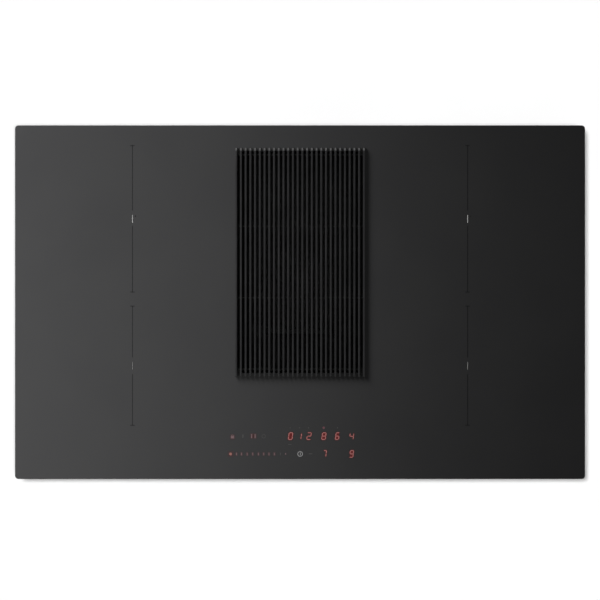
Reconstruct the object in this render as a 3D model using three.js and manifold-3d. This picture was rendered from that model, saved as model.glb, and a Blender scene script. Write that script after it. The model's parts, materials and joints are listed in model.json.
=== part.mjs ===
// A downdraft induction cooktop: black glass over four induction zones, with an extractor in the middle.
// Millimetres. +X is to the cook's right, +Y to the back, +Z up.
// The origin is the middle of the glass in plan, on the worktop's top face: what shows above the worktop
// is above Z = 0, and the rest hangs in the cut-out.
import * as THREE from "three";
import { mergeVertices } from "three/addons/utils/BufferGeometryUtils.js";
import Module from "manifold-3d";

const wasm = await Module();
wasm.setup();

// ---------------------------------------------------------------- driving dimensions

const seatGap = 0.1; // between two faces that rest on each other
const overrun = 1; // how far a cut runs on past the faces that it opens

// Glass plate and the foam seal under its rim
const glassWidth = 830;
const glassDepth = 515;
const glassThickness = 4;
const glassCorner = 5;
const glassBevel = 0.6;
const sealThickness = 2;
const sealWidth = 8;
const sealInset = 1; // from the glass edge

// The air inlet cut in the glass
const inletWidth = 185;
const inletDepth = 323;
const inletCorner = 3;
const inletToBackEdge = 37.5;

// Grille: slats that run front to back, tied by cross bars
const slatCount = 28;
const slatThickness = 2.8;
const slatHeight = 7.5;
const slatSideLap = 0.8; // how far the outer slats' centres stand apart beyond the inlet's width
const slatEndLap = 5.5; // over the glass, at each end
const slatEndRound = 3.2;
const barCount = 4;
const barThickness = 2;
const barHeight = 2.5;
const barRise = 0.5; // above the slats' undersides
const barInset = 5.5; // from the inlet's edge to the first bar
const footHeight = 1;
const footWidth = 9;
const footStubDepth = 3.2;
const footStubDrop = 3.5;
const footClearance = 1.2; // from the stub to the inlet's edge

// Inlet well under the glass, and its seal
const wellSealThickness = 1;
const wellFlange = 10;
const wellFlangeThickness = 1.5;
const wellWall = 2;
const wellSetback = 1; // behind the glass edge
const wellDraft = 2.5; // each side, from top to bottom
const wellDepth = 64;
const wellLedge = 7;
const wellLedgeThickness = 3;

// Grease filter cassette
const filterClearance = 1.5; // to the well's wall
const filterHeight = 24;
const filterSheet = 1.5;
const filterLip = 8;
const filterCorner = 4;
const meshThickness = 2;
const meshRows = 8;
const meshColumns = 4;
const meshBorder = 7;
const meshStrand = 7;
const handleFromFront = 60.5;
const handleBase = 104;
const handleTop = 84;
const handleHeight = 22;
const handleDepth = 8;
const handleBar = 6;
const handlePad = 16; // depth of the bridge that carries the handle
const handlePadThickness = 2.5;

// Sheet-metal chassis tray
const trayOverhang = 17; // from the glass edge to the tray's wall
const traySheet = 1.2;
const trayDepth = 53;
const trayCorner = 6;
const trayLip = 8;
const trayLipCorner = 2;
const trayWellClearance = 2.5;
const beadCount = 4;
const beadLength = 220;
const beadWidth = 12;
const beadDepth = 2;
const ventSlotWidth = 5;
const ventSlotLength = 60;
const ventSlotCount = 5;
const exhaustSlotHeight = 14;
const exhaustSlotCount = 4;
const exhaustSlotPitch = 38;

// Induction zones: two at each side of the inlet
const rearZoneRadius = 105;
const frontZoneRadius = 87.5;
const zoneToLip = 4.9; // from the rear zone to the tray's lip
const zoneSpacing = 21.5; // between the two zones
const bayMargin = 4; // from the well's flange and the outermost zones to the coil support
const bayToLip = 8; // from the coil support to the tray's side lip
const micaThickness = 1;
const coilInnerRadius = 31;
const coilMargin = 4; // from the zone's edge to the outermost turn
const wireWidth = 8;
const wireHeight = 4;
const rearCoilTurns = 6;
const frontCoilTurns = 4;
const formerThickness = 4;
const formerRing = 5;
const formerHubRadius = 22;
const formerSpokes = 6;
const formerSpokeWidth = 16;
const sensorRadius = 8;
const sensorCapRadius = 6;
const sensorClearance = 1;
const supportSheet = 1.5;

// Power electronics under each pair of zones
const boardBaseThickness = 2;
const boardPostHeight = 4.9;
const boardPostRadius = 4;
const boardMargin = 10;
const boardThickness = 1.6;
const sinkWidth = 84;
const sinkHeight = 25;
const sinkBase = 4;
const sinkFins = 9;
const sinkFinThickness = 1.8;
const sinkMargin = 14; // from the board's ends
const capacitorWidth = 18;
const capacitorLength = 32;
const capacitorHeight = 24;
const chokeRadius = 19;
const chokeBore = 8;
const chokeHeight = 16;
const chokeShoulder = [2.85, 3.2]; // how far its upper edge slopes, across and down
const chokeSpacing = 47.5; // from the board's middle

// Cooling fans
const coolerSize = 80;
const coolerHeight = 24;
const coolerCorner = 4;
const coolerBore = 37.5;
const coolerTipGap = 1.6;
const coolerHubRadius = 17;
const coolerBlades = 7;
const coolerBladeThickness = 1.6;
const coolerBladePitch = 38; // degrees, at the tip
const coolerBladeRoot = 11.9; // where a blade starts, inside the hub
const coolerRootTwist = 30; // degrees steeper than the tip
const coolerMiddleTwist = 8;
const coolerStrut = 5;
const coolerStrutAngle = 45; // degrees: the struts run to the frame's corners
const coolerPlate = 3;
const coolerEndGap = 2;
const spindleRadius = 2.5;
const spindleGap = 0.6;
const spindleHeight = 12;

// Touch control module behind the glass
const controlDepth = 58;
const controlHeight = 16;
const controlWall = 1.6;
const controlCorner = 3;
const controlInnerCorner = 2;
const controlLegRadius = 4;
const controlSideGap = 2;
const touchBoardDrop = 8; // from the glass to the board's face
const touchBoardGap = 1; // to the housing's wall
const touchRibWidth = 3;
const touchRibInset = 8; // from the board's end to the outer ribs
const touchRibSetback = 2; // from the board's long edges
const digitSize = 11; // one seven-segment cell, front to back
const digitWidth = 8;
const digitHeight = 4.5;
const guideThickness = 4;
const guideGap = 1.6; // round each light source
const backRowRise = 8.2; // from the module's middle
const frontRowDrop = 19.2;
const backRowDigits = [-13.6, 1.9, 13, 34.3, 54.3, 75];
const frontRowDigits = [36.3, 75];
const keySpacing = 15.5;
const firstKey = -98.5;
const keyCount = 4;
const sliderStart = -101.2;
const sliderEnd = -21.3;
const sliderHeight = 6;
const sliderEndGap = 2;

// Plenum, fan deck and blower
const plenumHeight = 52;
const plenumWall = 2.5;
const plenumCorner = 12;
const plenumMargin = 7;
const plenumRib = 3;
const plenumRibThickness = 2;
const plenumRibPitch = 42;
const deckThickness = 3;
const deckLip = 9; // how far the bellmouth reaches down
const drainWidth = 110;
const drainDepth = 150;
const eyeRadius = 58;
const eyeRound = 6;
const scrollWall = 2.5;
const scrollFloorThickness = 2.8;
const scrollHeight = 91;
const scrollStartRadius = 84;
const scrollEndRadius = 128;
const cutoffAngle = 70; // degrees from +X to the tongue
const throatOffset = 95; // from the impeller's axis to the outlet throat
const impellerRadius = 76;
const impellerInnerRadius = 63;
const impellerHeight = 72;
const impellerFloorGap = 7;
const impellerBlades = 26;
const impellerBladeThickness = 1.6;
const impellerBladeSweep = 9; // degrees, forward at the tip
const impellerRing = 3;
const bladeSetback = 1; // from the ring's inner edge
const bladeTipSetback = 0.5; // from the ring's outer edge
const impellerPlate = 2.5;
const hubCupWall = 2.5;
const hubCupGap = 4;
const hubBossRadius = 9;
const hubBossHeight = 12;
const motorRadius = 40;
const motorHoleGap = 2;
const motorChamfer = 4;
const motorHeight = 45; // above the scroll's floor
const motorFlangeRadius = 56;
const motorFlange = 5.5;
const motorFlangeChamfer = 2;
const motorLugs = 3;
const motorLugRadius = 9;
const shaftRadius = 4;
const shaftClearance = 0.3;
const shaftSeat = 14;
const shaftEndGap = 1; // to the bottom of the motor's bore
const shaftProud = 2; // above the hub

// Outlet to the flat duct
const spigotWidth = 222;
const spigotHeight = 89;
const spigotLength = 40;
const spigotWall = 1.8;
const spigotCorner = 8;
const spigotBead = 1.6;
const spigotBeadSetback = 6; // from the spigot's start to the bead's crest
const spigotBeadHalf = 2;
const transitionLength = 85;
const outletFlange = 6;
const outletFlangeThickness = 3;
const outletToTrayBack = 0.5;

// Drip tank on its rails under the well
const tankWidth = 164;
const tankDepth = 240;
const tankHeight = 55;
const tankWall = 2.2;
const tankDraft = 4;
const tankCorner = 14;
const tankRim = 5;
const tankRimThickness = 2.5;
const tankPull = 14;
const railClearance = 0.6;
const railThickness = 2;
const railToScroll = 3;
const scrollFlange = 6;
const scrollFlangeThickness = 3;
const scrollRibs = 8;
const scrollRibDepth = 4;
const scrollRibThickness = 2;

// Mains terminal box
const terminalWidth = 110;
const terminalDepth = 84;
const terminalHeight = 38;
const terminalWall = 2.2;
const terminalLid = 2.5;
const terminalToTraySide = 38;
const terminalToTrayBack = 16;
const hingeRadius = 3;
const hingeGap = 0.4;
const earInset = 6; // from the box's ends to the hinge's ears
const earThickness = 4;
const earSetback = 1; // behind the front wall's face
const earEdgeGap = 0.2; // to the lid's edge
const armInset = 14; // from the box's ends to the lid's arm
const knuckleGap = 0.5;
const lidRibWidth = 2;
const lidRibHeight = 1.5;
const lidRibSetback = 6; // from the lid's back edge
const terminalPoles = 5;
const terminalPoleWidth = 13;
const terminalBlockDepth = 28;
const terminalBlockHeight = 18;
const clampWidth = 8;
const clampDepth = 18;
const clampHeight = 8;
const glandRadius = 12;
const glandLength = 22;
const glandBore = 6.5;
const glandThreadWall = 1.5;
const glandHoleGap = 0.4; // from the thread to the hole's edge
const glandNutLength = 8.8;
const glandShoulder = [1.8, 1.1]; // how far the nut's edge slopes, inwards and along
const glandTipRadius = 9;

// Spring clips that centre the tray in the cut-out
const clipWidth = 28;
const clipSheet = 0.8;
const clipBulge = 4.6;
const clipDrop = 6; // from the tray's top
const clipHeight = 34;
const clipFromEnds = 90;

// ---------------------------------------------------------------- levels and places worked out from them

const glassBottom = sealThickness;
const glassTop = glassBottom + glassThickness;
const underGlass = glassBottom - seatGap;

const inletBack = glassDepth / 2 - inletToBackEdge;
const inletY = inletBack - inletDepth / 2;
const inletFront = inletBack - inletDepth;

const slatPitch = (inletWidth + slatSideLap) / (slatCount - 1);
const slatLength = inletDepth + 2 * slatEndLap;
const slatBottom = glassTop + footHeight;
const barPitch = (inletDepth - 2 * barInset) / (barCount - 1);

const trayWidth = glassWidth - 2 * trayOverhang;
const trayLength = glassDepth - 2 * trayOverhang;
const trayTop = underGlass;
const trayBottom = trayTop - trayDepth;
const trayFloor = trayBottom + traySheet;
const onTrayFloor = trayFloor + seatGap;
const underTray = trayBottom - seatGap;
const lipX = trayWidth / 2 - traySheet - trayLip;
const lipY = trayLength / 2 - traySheet - trayLip;

const wellSealBottom = underGlass - wellSealThickness;
const wellTop = wellSealBottom - seatGap;
const wellBottom = wellTop - wellDepth;
const wellInnerWidth = inletWidth + 2 * wellSetback;
const wellInnerDepth = inletDepth + 2 * wellSetback;
const wellFlangeX = inletWidth / 2 + wellFlange;
const ledgeTop = wellBottom + wellLedgeThickness;

const filterBottom = ledgeTop + seatGap;
const filterTop = filterBottom + filterHeight;
const filterWidth = wellInnerWidth - 2 * (wellDraft + filterClearance);
const filterDepth = wellInnerDepth - 2 * (wellDraft + filterClearance);
const handleY = inletFront + handleFromFront;

const bayInner = wellFlangeX + bayMargin;
const bayOuter = lipX - bayToLip;
const zoneX = (bayInner + bayOuter) / 2;
const rearZoneY = lipY - zoneToLip - rearZoneRadius;
const frontZoneY = rearZoneY - rearZoneRadius - frontZoneRadius - zoneSpacing;
const micaBottom = underGlass - micaThickness;
const coilTop = micaBottom - seatGap;
const coilBottom = coilTop - wireHeight;
const formerTop = coilBottom - seatGap;
const formerBottom = formerTop - formerThickness;
const supportTop = formerBottom - seatGap;
const supportBottom = supportTop - supportSheet;
const supportWidth = bayOuter - bayInner;
const supportFront = frontZoneY - frontZoneRadius - bayMargin;
const supportBack = rearZoneY + rearZoneRadius + bayMargin;
const coolerY = supportFront + bayMargin + coolerSize / 2;
const boardFront = coolerY + coolerSize / 2 + bayMargin;
const boardBack = supportBack - bayMargin;
const boardWidth = supportWidth - 2 * (supportSheet + boardMargin);
const boardBottom = onTrayFloor + boardBaseThickness + boardPostHeight + seatGap;
const boardTop = boardBottom + boardThickness;

const controlHalfWidth = bayInner - controlSideGap;
const controlY = controlDepth / 2 - lipY + seatGap * 3;
const controlBottom = underGlass - controlHeight;
const touchBoardTop = underGlass - touchBoardDrop;
const displayRowBack = controlY + backRowRise;
const displayRowFront = controlY - frontRowDrop;

const tankRimX = tankWidth / 2 + tankRim;
const railOuterX = tankRimX + railClearance + railThickness;
const scrollRadiusAt = (degrees) =>
  scrollStartRadius +
  ((scrollEndRadius - scrollStartRadius) * (degrees - cutoffAngle)) / (360 - cutoffAngle);
const fanX = railOuterX + railToScroll + scrollFlange + scrollRadiusAt(180) + scrollWall;
const outletEndY = trayLength / 2 - outletToTrayBack;
const fanY = outletEndY - spigotLength - transitionLength - throatOffset;
const throatY = fanY + throatOffset;

const plenumTop = underTray;
const plenumBottom = plenumTop - plenumHeight;
const plenumX = [-(wellInnerWidth / 2 + plenumMargin), fanX + scrollEndRadius + scrollWall + plenumMargin];
const plenumY = [inletFront - wellSetback - plenumMargin, inletBack + wellSetback + plenumMargin];
const wingX = [-plenumX[1] / 4, plenumX[1]]; // it starts inside the part under the well
const wingY = [fanY - scrollRadiusAt(270) - scrollWall - plenumMargin, throatY + outletFlangeThickness];
const deckTop = plenumBottom - seatGap;
const deckBottom = deckTop - deckThickness;
const scrollTop = deckBottom - seatGap;
const scrollBottom = scrollTop - scrollHeight;
const scrollFloor = scrollBottom + scrollFloorThickness;
const impellerBottom = scrollFloor + impellerFloorGap;
const impellerTop = impellerBottom + impellerHeight;
const motorTop = scrollFloor + motorHeight;
const throatInnerX = scrollStartRadius * Math.cos(THREE.MathUtils.degToRad(cutoffAngle));
const outletX = fanX + (throatInnerX + scrollEndRadius) / 2;
const outletZ = (scrollFloor + scrollTop) / 2;

const tankTop = deckBottom - seatGap - railThickness - railClearance;
const tankBottom = tankTop - tankHeight;
const tankY = inletY - inletDepth / 2 + tankDepth / 2 + plenumMargin;

const terminalX = -(trayWidth / 2 - terminalToTraySide - terminalWidth / 2);
const terminalY = trayLength / 2 - terminalToTrayBack - terminalDepth / 2;
const terminalBottom = underTray - terminalHeight;
const glandX = terminalWidth / 6; // from the box's middle
const glandZ = (terminalBottom + underTray) / 2;
const glandThreadRadius = glandBore + glandThreadWall;
const glandHoleRadius = glandThreadRadius + glandHoleGap;

// ---------------------------------------------------------------- shapes and solids

// A closed three.js geometry as a solid, turned right side out if its faces point inwards.
function solidOf(geometry) {
  const bare = geometry.index ? geometry.toNonIndexed() : geometry.clone();
  for (const name of Object.keys(bare.attributes)) {
    if (name !== "position") bare.deleteAttribute(name);
  }
  const merged = mergeVertices(bare, 1e-4);
  const triangles = Uint32Array.from(merged.index.array);
  const build = (triVerts) => {
    const vertProperties = merged.attributes.position.array;
    return new wasm.Manifold(new wasm.Mesh({ numProp: 3, vertProperties, triVerts }));
  };
  const made = build(triangles);
  return made.volume() > 0 ? made : build(triangles.reverse());
}

// A solid as a flat-shaded geometry.
function geometryOf(solid) {
  const { numProp, vertProperties, triVerts } = solid.getMesh();
  const indexed = new THREE.BufferGeometry();
  const points = new THREE.Float32BufferAttribute(vertProperties, numProp);
  indexed.setAttribute("position", points);
  indexed.setIndex(new THREE.BufferAttribute(triVerts, 1));
  const flat = indexed.toNonIndexed();
  flat.computeVertexNormals();
  return flat;
}

const join = (first, ...others) => others.reduce((whole, other) => whole.add(other), first);
const cut = (first, ...tools) => tools.reduce((rest, tool) => rest.subtract(tool), first);
const degrees = THREE.MathUtils.degToRad;
const around = (count, make) => Array.from({ length: count }, (_, i) => make(i, (i / count) * 2 * Math.PI));

// A rectangle with round corners, in plan.
function roundedRectangle(width, depth, radius, x = 0, y = 0) {
  const right = x + width / 2 - radius;
  const left = x - width / 2 + radius;
  const back = y + depth / 2 - radius;
  const front = y - depth / 2 + radius;
  return new THREE.Shape()
    .absarc(right, back, radius, 0, Math.PI / 2)
    .absarc(left, back, radius, Math.PI / 2, Math.PI)
    .absarc(left, front, radius, Math.PI, 1.5 * Math.PI)
    .absarc(right, front, radius, 1.5 * Math.PI, 2 * Math.PI);
}

const spanRectangle = (x, y, radius) =>
  roundedRectangle(x[1] - x[0], y[1] - y[0], radius, (x[0] + x[1]) / 2, (y[0] + y[1]) / 2);

// An upright prism of a shape, from z = low to z = high.
function prism(shape, low, high, curveSegments = 2) {
  const options = { depth: high - low, bevelEnabled: false, curveSegments };
  return solidOf(new THREE.ExtrudeGeometry(shape, options).translate(0, 0, low));
}

// A box between two limits along each axis.
function block(x, y, z) {
  const box = new THREE.BoxGeometry(x[1] - x[0], y[1] - y[0], z[1] - z[0]);
  return solidOf(box.translate((x[0] + x[1]) / 2, (y[0] + y[1]) / 2, (z[0] + z[1]) / 2));
}

// An upright cylinder.
function rod(radius, low, high, sides = 16, x = 0, y = 0) {
  const cylinder = new THREE.CylinderGeometry(radius, radius, high - low, sides);
  return solidOf(cylinder.rotateX(Math.PI / 2).translate(x, y, (low + high) / 2));
}

// A profile of [radius, height] pairs turned about the Z axis.
// It starts and ends on the axis, or closes on itself.
function revolve(profile, sides = 24) {
  const points = profile.map(([radius, height]) => new THREE.Vector2(radius, height));
  return solidOf(new THREE.LatheGeometry(points, sides).rotateX(Math.PI / 2));
}

// A shape drawn in the plane of Y and Z, thickened along X between two limits.
function sideProfile(shape, x, curveSegments = 2) {
  const options = { depth: x[1] - x[0], bevelEnabled: false, curveSegments };
  const turn = new THREE.Matrix4().makeBasis(
    new THREE.Vector3(0, 1, 0),
    new THREE.Vector3(0, 0, 1),
    new THREE.Vector3(1, 0, 0),
  );
  return solidOf(new THREE.ExtrudeGeometry(shape, options).applyMatrix4(turn).translate(x[0], 0, 0));
}

// A shape drawn in the plane of X and Z, thickened along Y between two limits.
function frontProfile(shape, y, curveSegments = 2) {
  const options = { depth: y[1] - y[0], bevelEnabled: false, curveSegments };
  const upright = new THREE.ExtrudeGeometry(shape, options).rotateX(Math.PI / 2);
  return solidOf(upright.translate(0, y[1], 0));
}

// A skin through rings of points, one ring after another, with a flat cap at each end.
function loft(rings) {
  const count = rings[0].length;
  const faces = [];
  for (let ring = 0; ring + 1 < rings.length; ring++) {
    for (let i = 0; i < count; i++) {
      const a = ring * count + i;
      const b = ring * count + ((i + 1) % count);
      faces.push(a, b, b + count, a, b + count, a + count);
    }
  }
  const last = (rings.length - 1) * count;
  for (let i = 1; i + 1 < count; i++) {
    faces.push(0, i + 1, i, last, last + i, last + i + 1);
  }
  const geometry = new THREE.BufferGeometry().setFromPoints(rings.flat());
  return solidOf(geometry.setIndex(faces));
}

// A rounded rectangle's points as a level ring at height z.
function levelRing(width, depth, radius, x, y, z) {
  const points = roundedRectangle(width, depth, radius, x, y).getPoints(2);
  if (points[0].distanceTo(points.at(-1)) < 1e-6) points.pop();
  return points.map((point) => new THREE.Vector3(point.x, point.y, z));
}

// A rounded rectangle's points as an upright ring that faces the back, at y.
const uprightRing = (width, height, radius, x, y, z) =>
  levelRing(width, height, radius, x, z, 0).map((point) => new THREE.Vector3(point.x, y, point.y));

// ---------------------------------------------------------------- materials

const finish = (color, roughness, metalness = 0) =>
  new THREE.MeshStandardMaterial({ color, roughness, metalness });
const blackGlass = finish(0x111112, 0.08);
const blackCast = finish(0x2a2a2b, 0.45, 0.4);
const blackMoulding = finish(0x161617, 0.55);
const greyMoulding = finish(0x3a3c3e, 0.6);
const rubber = finish(0x0d0d0d, 0.9);
const zincSheet = finish(0xa9adb0, 0.4, 0.9);
const aluminium = finish(0xb9bbbd, 0.35, 0.95);
const darkMesh = finish(0x4a4b4d, 0.4, 0.9);
const copper = finish(0xa9663a, 0.4, 0.9);
const mica = finish(0xc9c2ae, 0.8);
const circuitBoard = finish(0x1f5a35, 0.6);
const steel = finish(0x8d9093, 0.3, 1);
const whiteMoulding = finish(0xd8d8d4, 0.6);

const cooktop = new THREE.Group();

function addPiece(parent, name, solid, material) {
  const mesh = new THREE.Mesh(geometryOf(solid), material);
  mesh.name = name;
  parent.add(mesh);
  return mesh;
}

// ---------------------------------------------------------------- glass, seals and inlet well

function glassPlate() {
  const outline = roundedRectangle(glassWidth, glassDepth, glassCorner);
  outline.holes.push(roundedRectangle(inletWidth, inletDepth, inletCorner, 0, inletY));
  const geometry = new THREE.ExtrudeGeometry(outline, {
    depth: glassThickness - 2 * glassBevel,
    bevelThickness: glassBevel,
    bevelSize: glassBevel,
    bevelOffset: -glassBevel,
    bevelSegments: 1,
    curveSegments: 2,
  });
  return solidOf(geometry.translate(0, 0, glassBottom + glassBevel));
}

// A flat frame of one width all round.
function flatFrame(width, depth, corner, frameWidth, y, low, high) {
  const outside = prism(roundedRectangle(width, depth, corner, 0, y), low, high);
  const inner = Math.max(corner - frameWidth, 1);
  const hole = roundedRectangle(width - 2 * frameWidth, depth - 2 * frameWidth, inner, 0, y);
  return cut(outside, prism(hole, low - overrun, high + overrun));
}

const worktopSeal = () =>
  flatFrame(
    glassWidth - 2 * sealInset,
    glassDepth - 2 * sealInset,
    glassCorner - sealInset,
    sealWidth,
    0,
    0,
    underGlass,
  );

const wellSeal = () =>
  flatFrame(
    inletWidth + 2 * wellFlange,
    inletDepth + 2 * wellFlange,
    inletCorner + wellSetback,
    wellFlange - wellSetback,
    inletY,
    wellSealBottom,
    underGlass,
  );

// The well tapers, so that the filter cassette drops in freely and seats on the ledge at its foot.
function inletWell() {
  const corner = inletCorner + wellSetback;
  const ring = (grow, z, draft) =>
    levelRing(
      wellInnerWidth + 2 * (grow - draft),
      wellInnerDepth + 2 * (grow - draft),
      corner + Math.max(grow, 0),
      0,
      inletY,
      z,
    );
  const draftAt = (z) => (wellDraft * (wellTop - z)) / wellDepth;
  const outside = loft([ring(wellWall, wellTop, 0), ring(wellWall, wellBottom, wellDraft)]);
  const above = wellTop + overrun;
  const inside = loft([ring(0, above, draftAt(above)), ring(0, ledgeTop, draftAt(ledgeTop))]);
  const throat = prism(
    roundedRectangle(
      wellInnerWidth - 2 * (wellDraft + wellLedge),
      wellInnerDepth - 2 * (wellDraft + wellLedge),
      corner,
      0,
      inletY,
    ),
    wellBottom - overrun,
    above,
  );
  const flangeShape = roundedRectangle(
    inletWidth + 2 * wellFlange,
    inletDepth + 2 * wellFlange,
    corner,
    0,
    inletY,
  );
  const flange = prism(flangeShape, wellTop - wellFlangeThickness, wellTop);
  return cut(join(outside, flange), inside, throat);
}

addPiece(cooktop, "glass_plate", glassPlate(), blackGlass);
addPiece(cooktop, "worktop_seal", worktopSeal(), rubber);
addPiece(cooktop, "well_seal", wellSeal(), rubber);
addPiece(cooktop, "inlet_well", inletWell(), blackMoulding);

// ---------------------------------------------------------------- grille

// A slat's side view: a long bar that lies over the glass at both ends, where its top edges are rounded.
function slatShape() {
  const half = slatLength / 2;
  const top = slatBottom + slatHeight;
  const shape = new THREE.Shape();
  shape.moveTo(-half, slatBottom);
  shape.lineTo(half, slatBottom);
  shape.absarc(half - slatEndRound, top - slatEndRound, slatEndRound, 0, Math.PI / 2);
  shape.absarc(-half + slatEndRound, top - slatEndRound, slatEndRound, Math.PI / 2, Math.PI);
  return shape;
}

function grille() {
  const slat = sideProfile(slatShape(), [-slatThickness / 2, slatThickness / 2], 1);
  const slats = Array.from({ length: slatCount }, (_, i) =>
    slat.translate([(i - (slatCount - 1) / 2) * slatPitch, 0, 0]),
  );
  const reach = ((slatCount - 1) / 2) * slatPitch;
  const bars = Array.from({ length: barCount }, (_, i) => {
    const y = (i - (barCount - 1) / 2) * barPitch;
    return block(
      [-reach, reach],
      [y - barThickness / 2, y + barThickness / 2],
      [slatBottom + barRise, slatBottom + barRise + barHeight],
    );
  });
  return join(...slats, ...bars).translate([0, inletY, 0]);
}

// A rubber foot at one corner: a pad on the glass, and a stub inside the inlet.
// The stub keeps the grille from sliding.
function grilleFoot(side, end) {
  const outerX = inletWidth / 2 + slatSideLap / 2 + slatThickness / 2;
  const stubX = inletWidth / 2 - footClearance;
  const edgeY = inletDepth / 2;
  const top = slatBottom - seatGap;
  const across = (low, high) => (side > 0 ? [low, high] : [-high, -low]);
  const along = (low, high) => (end > 0 ? [inletY + low, inletY + high] : [inletY - high, inletY - low]);
  const pad = block(
    across(outerX - footWidth, outerX),
    along(edgeY - footClearance - footStubDepth, edgeY + slatEndLap - footClearance),
    [glassTop + seatGap, top],
  );
  const stub = block(
    across(outerX - footWidth, stubX),
    along(edgeY - footClearance - footStubDepth, edgeY - footClearance),
    [glassTop - footStubDrop, top],
  );
  return join(pad, stub);
}

addPiece(cooktop, "grille", grille(), blackCast);
[
  [-1, -1],
  [1, -1],
  [-1, 1],
  [1, 1],
].forEach(([side, end], i) => addPiece(cooktop, `grille_foot_${i + 1}`, grilleFoot(side, end), rubber));

// ---------------------------------------------------------------- grease filter cassette

function filterFrame() {
  const outline = roundedRectangle(filterWidth, filterDepth, filterCorner, 0, inletY);
  const inside = roundedRectangle(
    filterWidth - 2 * filterSheet,
    filterDepth - 2 * filterSheet,
    filterCorner - filterSheet,
    0,
    inletY,
  );
  const window = roundedRectangle(
    filterWidth - 2 * filterLip,
    filterDepth - 2 * filterLip,
    filterCorner,
    0,
    inletY,
  );
  const shell = cut(
    prism(outline, filterBottom, filterTop),
    prism(inside, filterBottom + filterSheet, filterTop + overrun),
    prism(window, filterBottom - overrun, filterTop),
  );
  const bridge = block(
    [-filterWidth / 2 + filterSheet / 2, filterWidth / 2 - filterSheet / 2],
    [handleY - handlePad / 2, handleY + handlePad / 2],
    [filterTop - handlePadThickness, filterTop],
  );
  return join(shell, bridge);
}

// The filter sheet rests on the frame's lip.
// Its openings are lozenges, in staggered rows as in expanded metal.
function filterMesh() {
  const low = filterBottom + filterSheet + seatGap;
  const width = filterWidth - 2 * filterSheet - 2 * seatGap;
  const depth = filterDepth - 2 * filterSheet - 2 * seatGap;
  const sheet = roundedRectangle(width, depth, filterCorner - filterSheet, 0, inletY);
  const pitchX = (width - 2 * meshBorder) / meshColumns;
  const pitchY = (depth - 2 * meshBorder) / meshRows;
  for (let row = 0; row < meshRows; row++) {
    const staggered = row % 2;
    for (let column = 0; column < meshColumns - staggered; column++) {
      const x = (column - (meshColumns - 1 - staggered) / 2) * pitchX;
      const y = inletY + (row - (meshRows - 1) / 2) * pitchY;
      const halfX = (pitchX - meshStrand) / 2;
      const halfY = pitchY - meshStrand;
      const lozenge = new THREE.Path();
      lozenge.moveTo(x + halfX, y);
      lozenge.lineTo(x, y + halfY / 2);
      lozenge.lineTo(x - halfX, y);
      lozenge.lineTo(x, y - halfY / 2);
      lozenge.closePath();
      sheet.holes.push(lozenge);
    }
  }
  return prism(sheet, low, low + meshThickness);
}

// A lifting bow: two raked legs and a top bar, with room for the fingers under it.
function filterHandle() {
  const low = filterTop + seatGap;
  const top = low + handleHeight;
  const bow = new THREE.Shape();
  bow.moveTo(-handleBase / 2, low);
  bow.lineTo(handleBase / 2, low);
  bow.lineTo(handleTop / 2, top);
  bow.lineTo(-handleTop / 2, top);
  bow.closePath();
  const gap = new THREE.Path();
  gap.moveTo(-handleBase / 2 + 2 * handleBar, low + handleBar / 3);
  gap.lineTo(handleBase / 2 - 2 * handleBar, low + handleBar / 3);
  gap.lineTo(handleTop / 2 - handleBar, top - handleBar);
  gap.lineTo(-handleTop / 2 + handleBar, top - handleBar);
  gap.closePath();
  bow.holes.push(gap);
  return frontProfile(bow, [handleY - handleDepth / 2, handleY + handleDepth / 2]);
}

addPiece(cooktop, "filter_frame", filterFrame(), darkMesh);
addPiece(cooktop, "filter_mesh", filterMesh(), darkMesh);
addPiece(cooktop, "filter_handle", filterHandle(), blackMoulding);

// ---------------------------------------------------------------- chassis tray

function chassisTray() {
  const inset = (by) =>
    roundedRectangle(trayWidth - 2 * by, trayLength - 2 * by, Math.max(trayCorner - by, trayLipCorner));
  const shell = cut(
    prism(inset(0), trayBottom, trayTop),
    prism(inset(traySheet), trayFloor, trayTop - traySheet),
    prism(inset(traySheet + trayLip), trayFloor, trayTop + overrun),
  );
  const wellOpening = prism(
    roundedRectangle(
      wellInnerWidth + 2 * (wellWall + trayWellClearance),
      wellInnerDepth + 2 * (wellWall + trayWellClearance),
      trayCorner,
      0,
      inletY,
    ),
    trayBottom - overrun,
    trayFloor + overrun,
  );
  const ventPitch = coolerSize / ventSlotCount;
  const vents = [-1, 1].flatMap((side) =>
    Array.from({ length: ventSlotCount }, (_, i) => {
      const x = side * zoneX + (i - (ventSlotCount - 1) / 2) * ventPitch;
      return block(
        [x - ventSlotWidth / 2, x + ventSlotWidth / 2],
        [coolerY - ventSlotLength / 2, coolerY + ventSlotLength / 2],
        [trayBottom - overrun, trayFloor + overrun],
      );
    }),
  );
  const middle = (trayTop + trayBottom) / 2;
  const exhausts = [-1, 1].flatMap((side) =>
    Array.from({ length: exhaustSlotCount }, (_, i) => {
      const x = side * zoneX + (i - (exhaustSlotCount - 1) / 2) * exhaustSlotPitch;
      return block(
        [x - ventSlotWidth / 2, x + ventSlotWidth / 2],
        [trayLength / 2 - 2 * traySheet, trayLength / 2 + overrun],
        [middle - exhaustSlotHeight / 2, middle + exhaustSlotHeight / 2],
      );
    }),
  );
  return join(cut(shell, wellOpening, ...vents, ...exhausts), ...trayBeads());
}

// Stiffening beads pressed down out of the tray's floor, between the left air vents and the terminal box.
function trayBeads() {
  const back = terminalY - terminalDepth / 2;
  const pitch = (back - boardFront) / beadCount;
  return Array.from({ length: beadCount }, (_, i) => {
    const y = boardFront + (i + 0.5) * pitch;
    const ring = (inset, z) =>
      levelRing(beadLength - 2 * inset, beadWidth - 2 * inset, beadWidth / 2 - inset, -zoneX, y, z);
    return loft([ring(beadDepth, trayBottom - beadDepth), ring(0, trayBottom), ring(0, trayFloor)]);
  });
}

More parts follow.
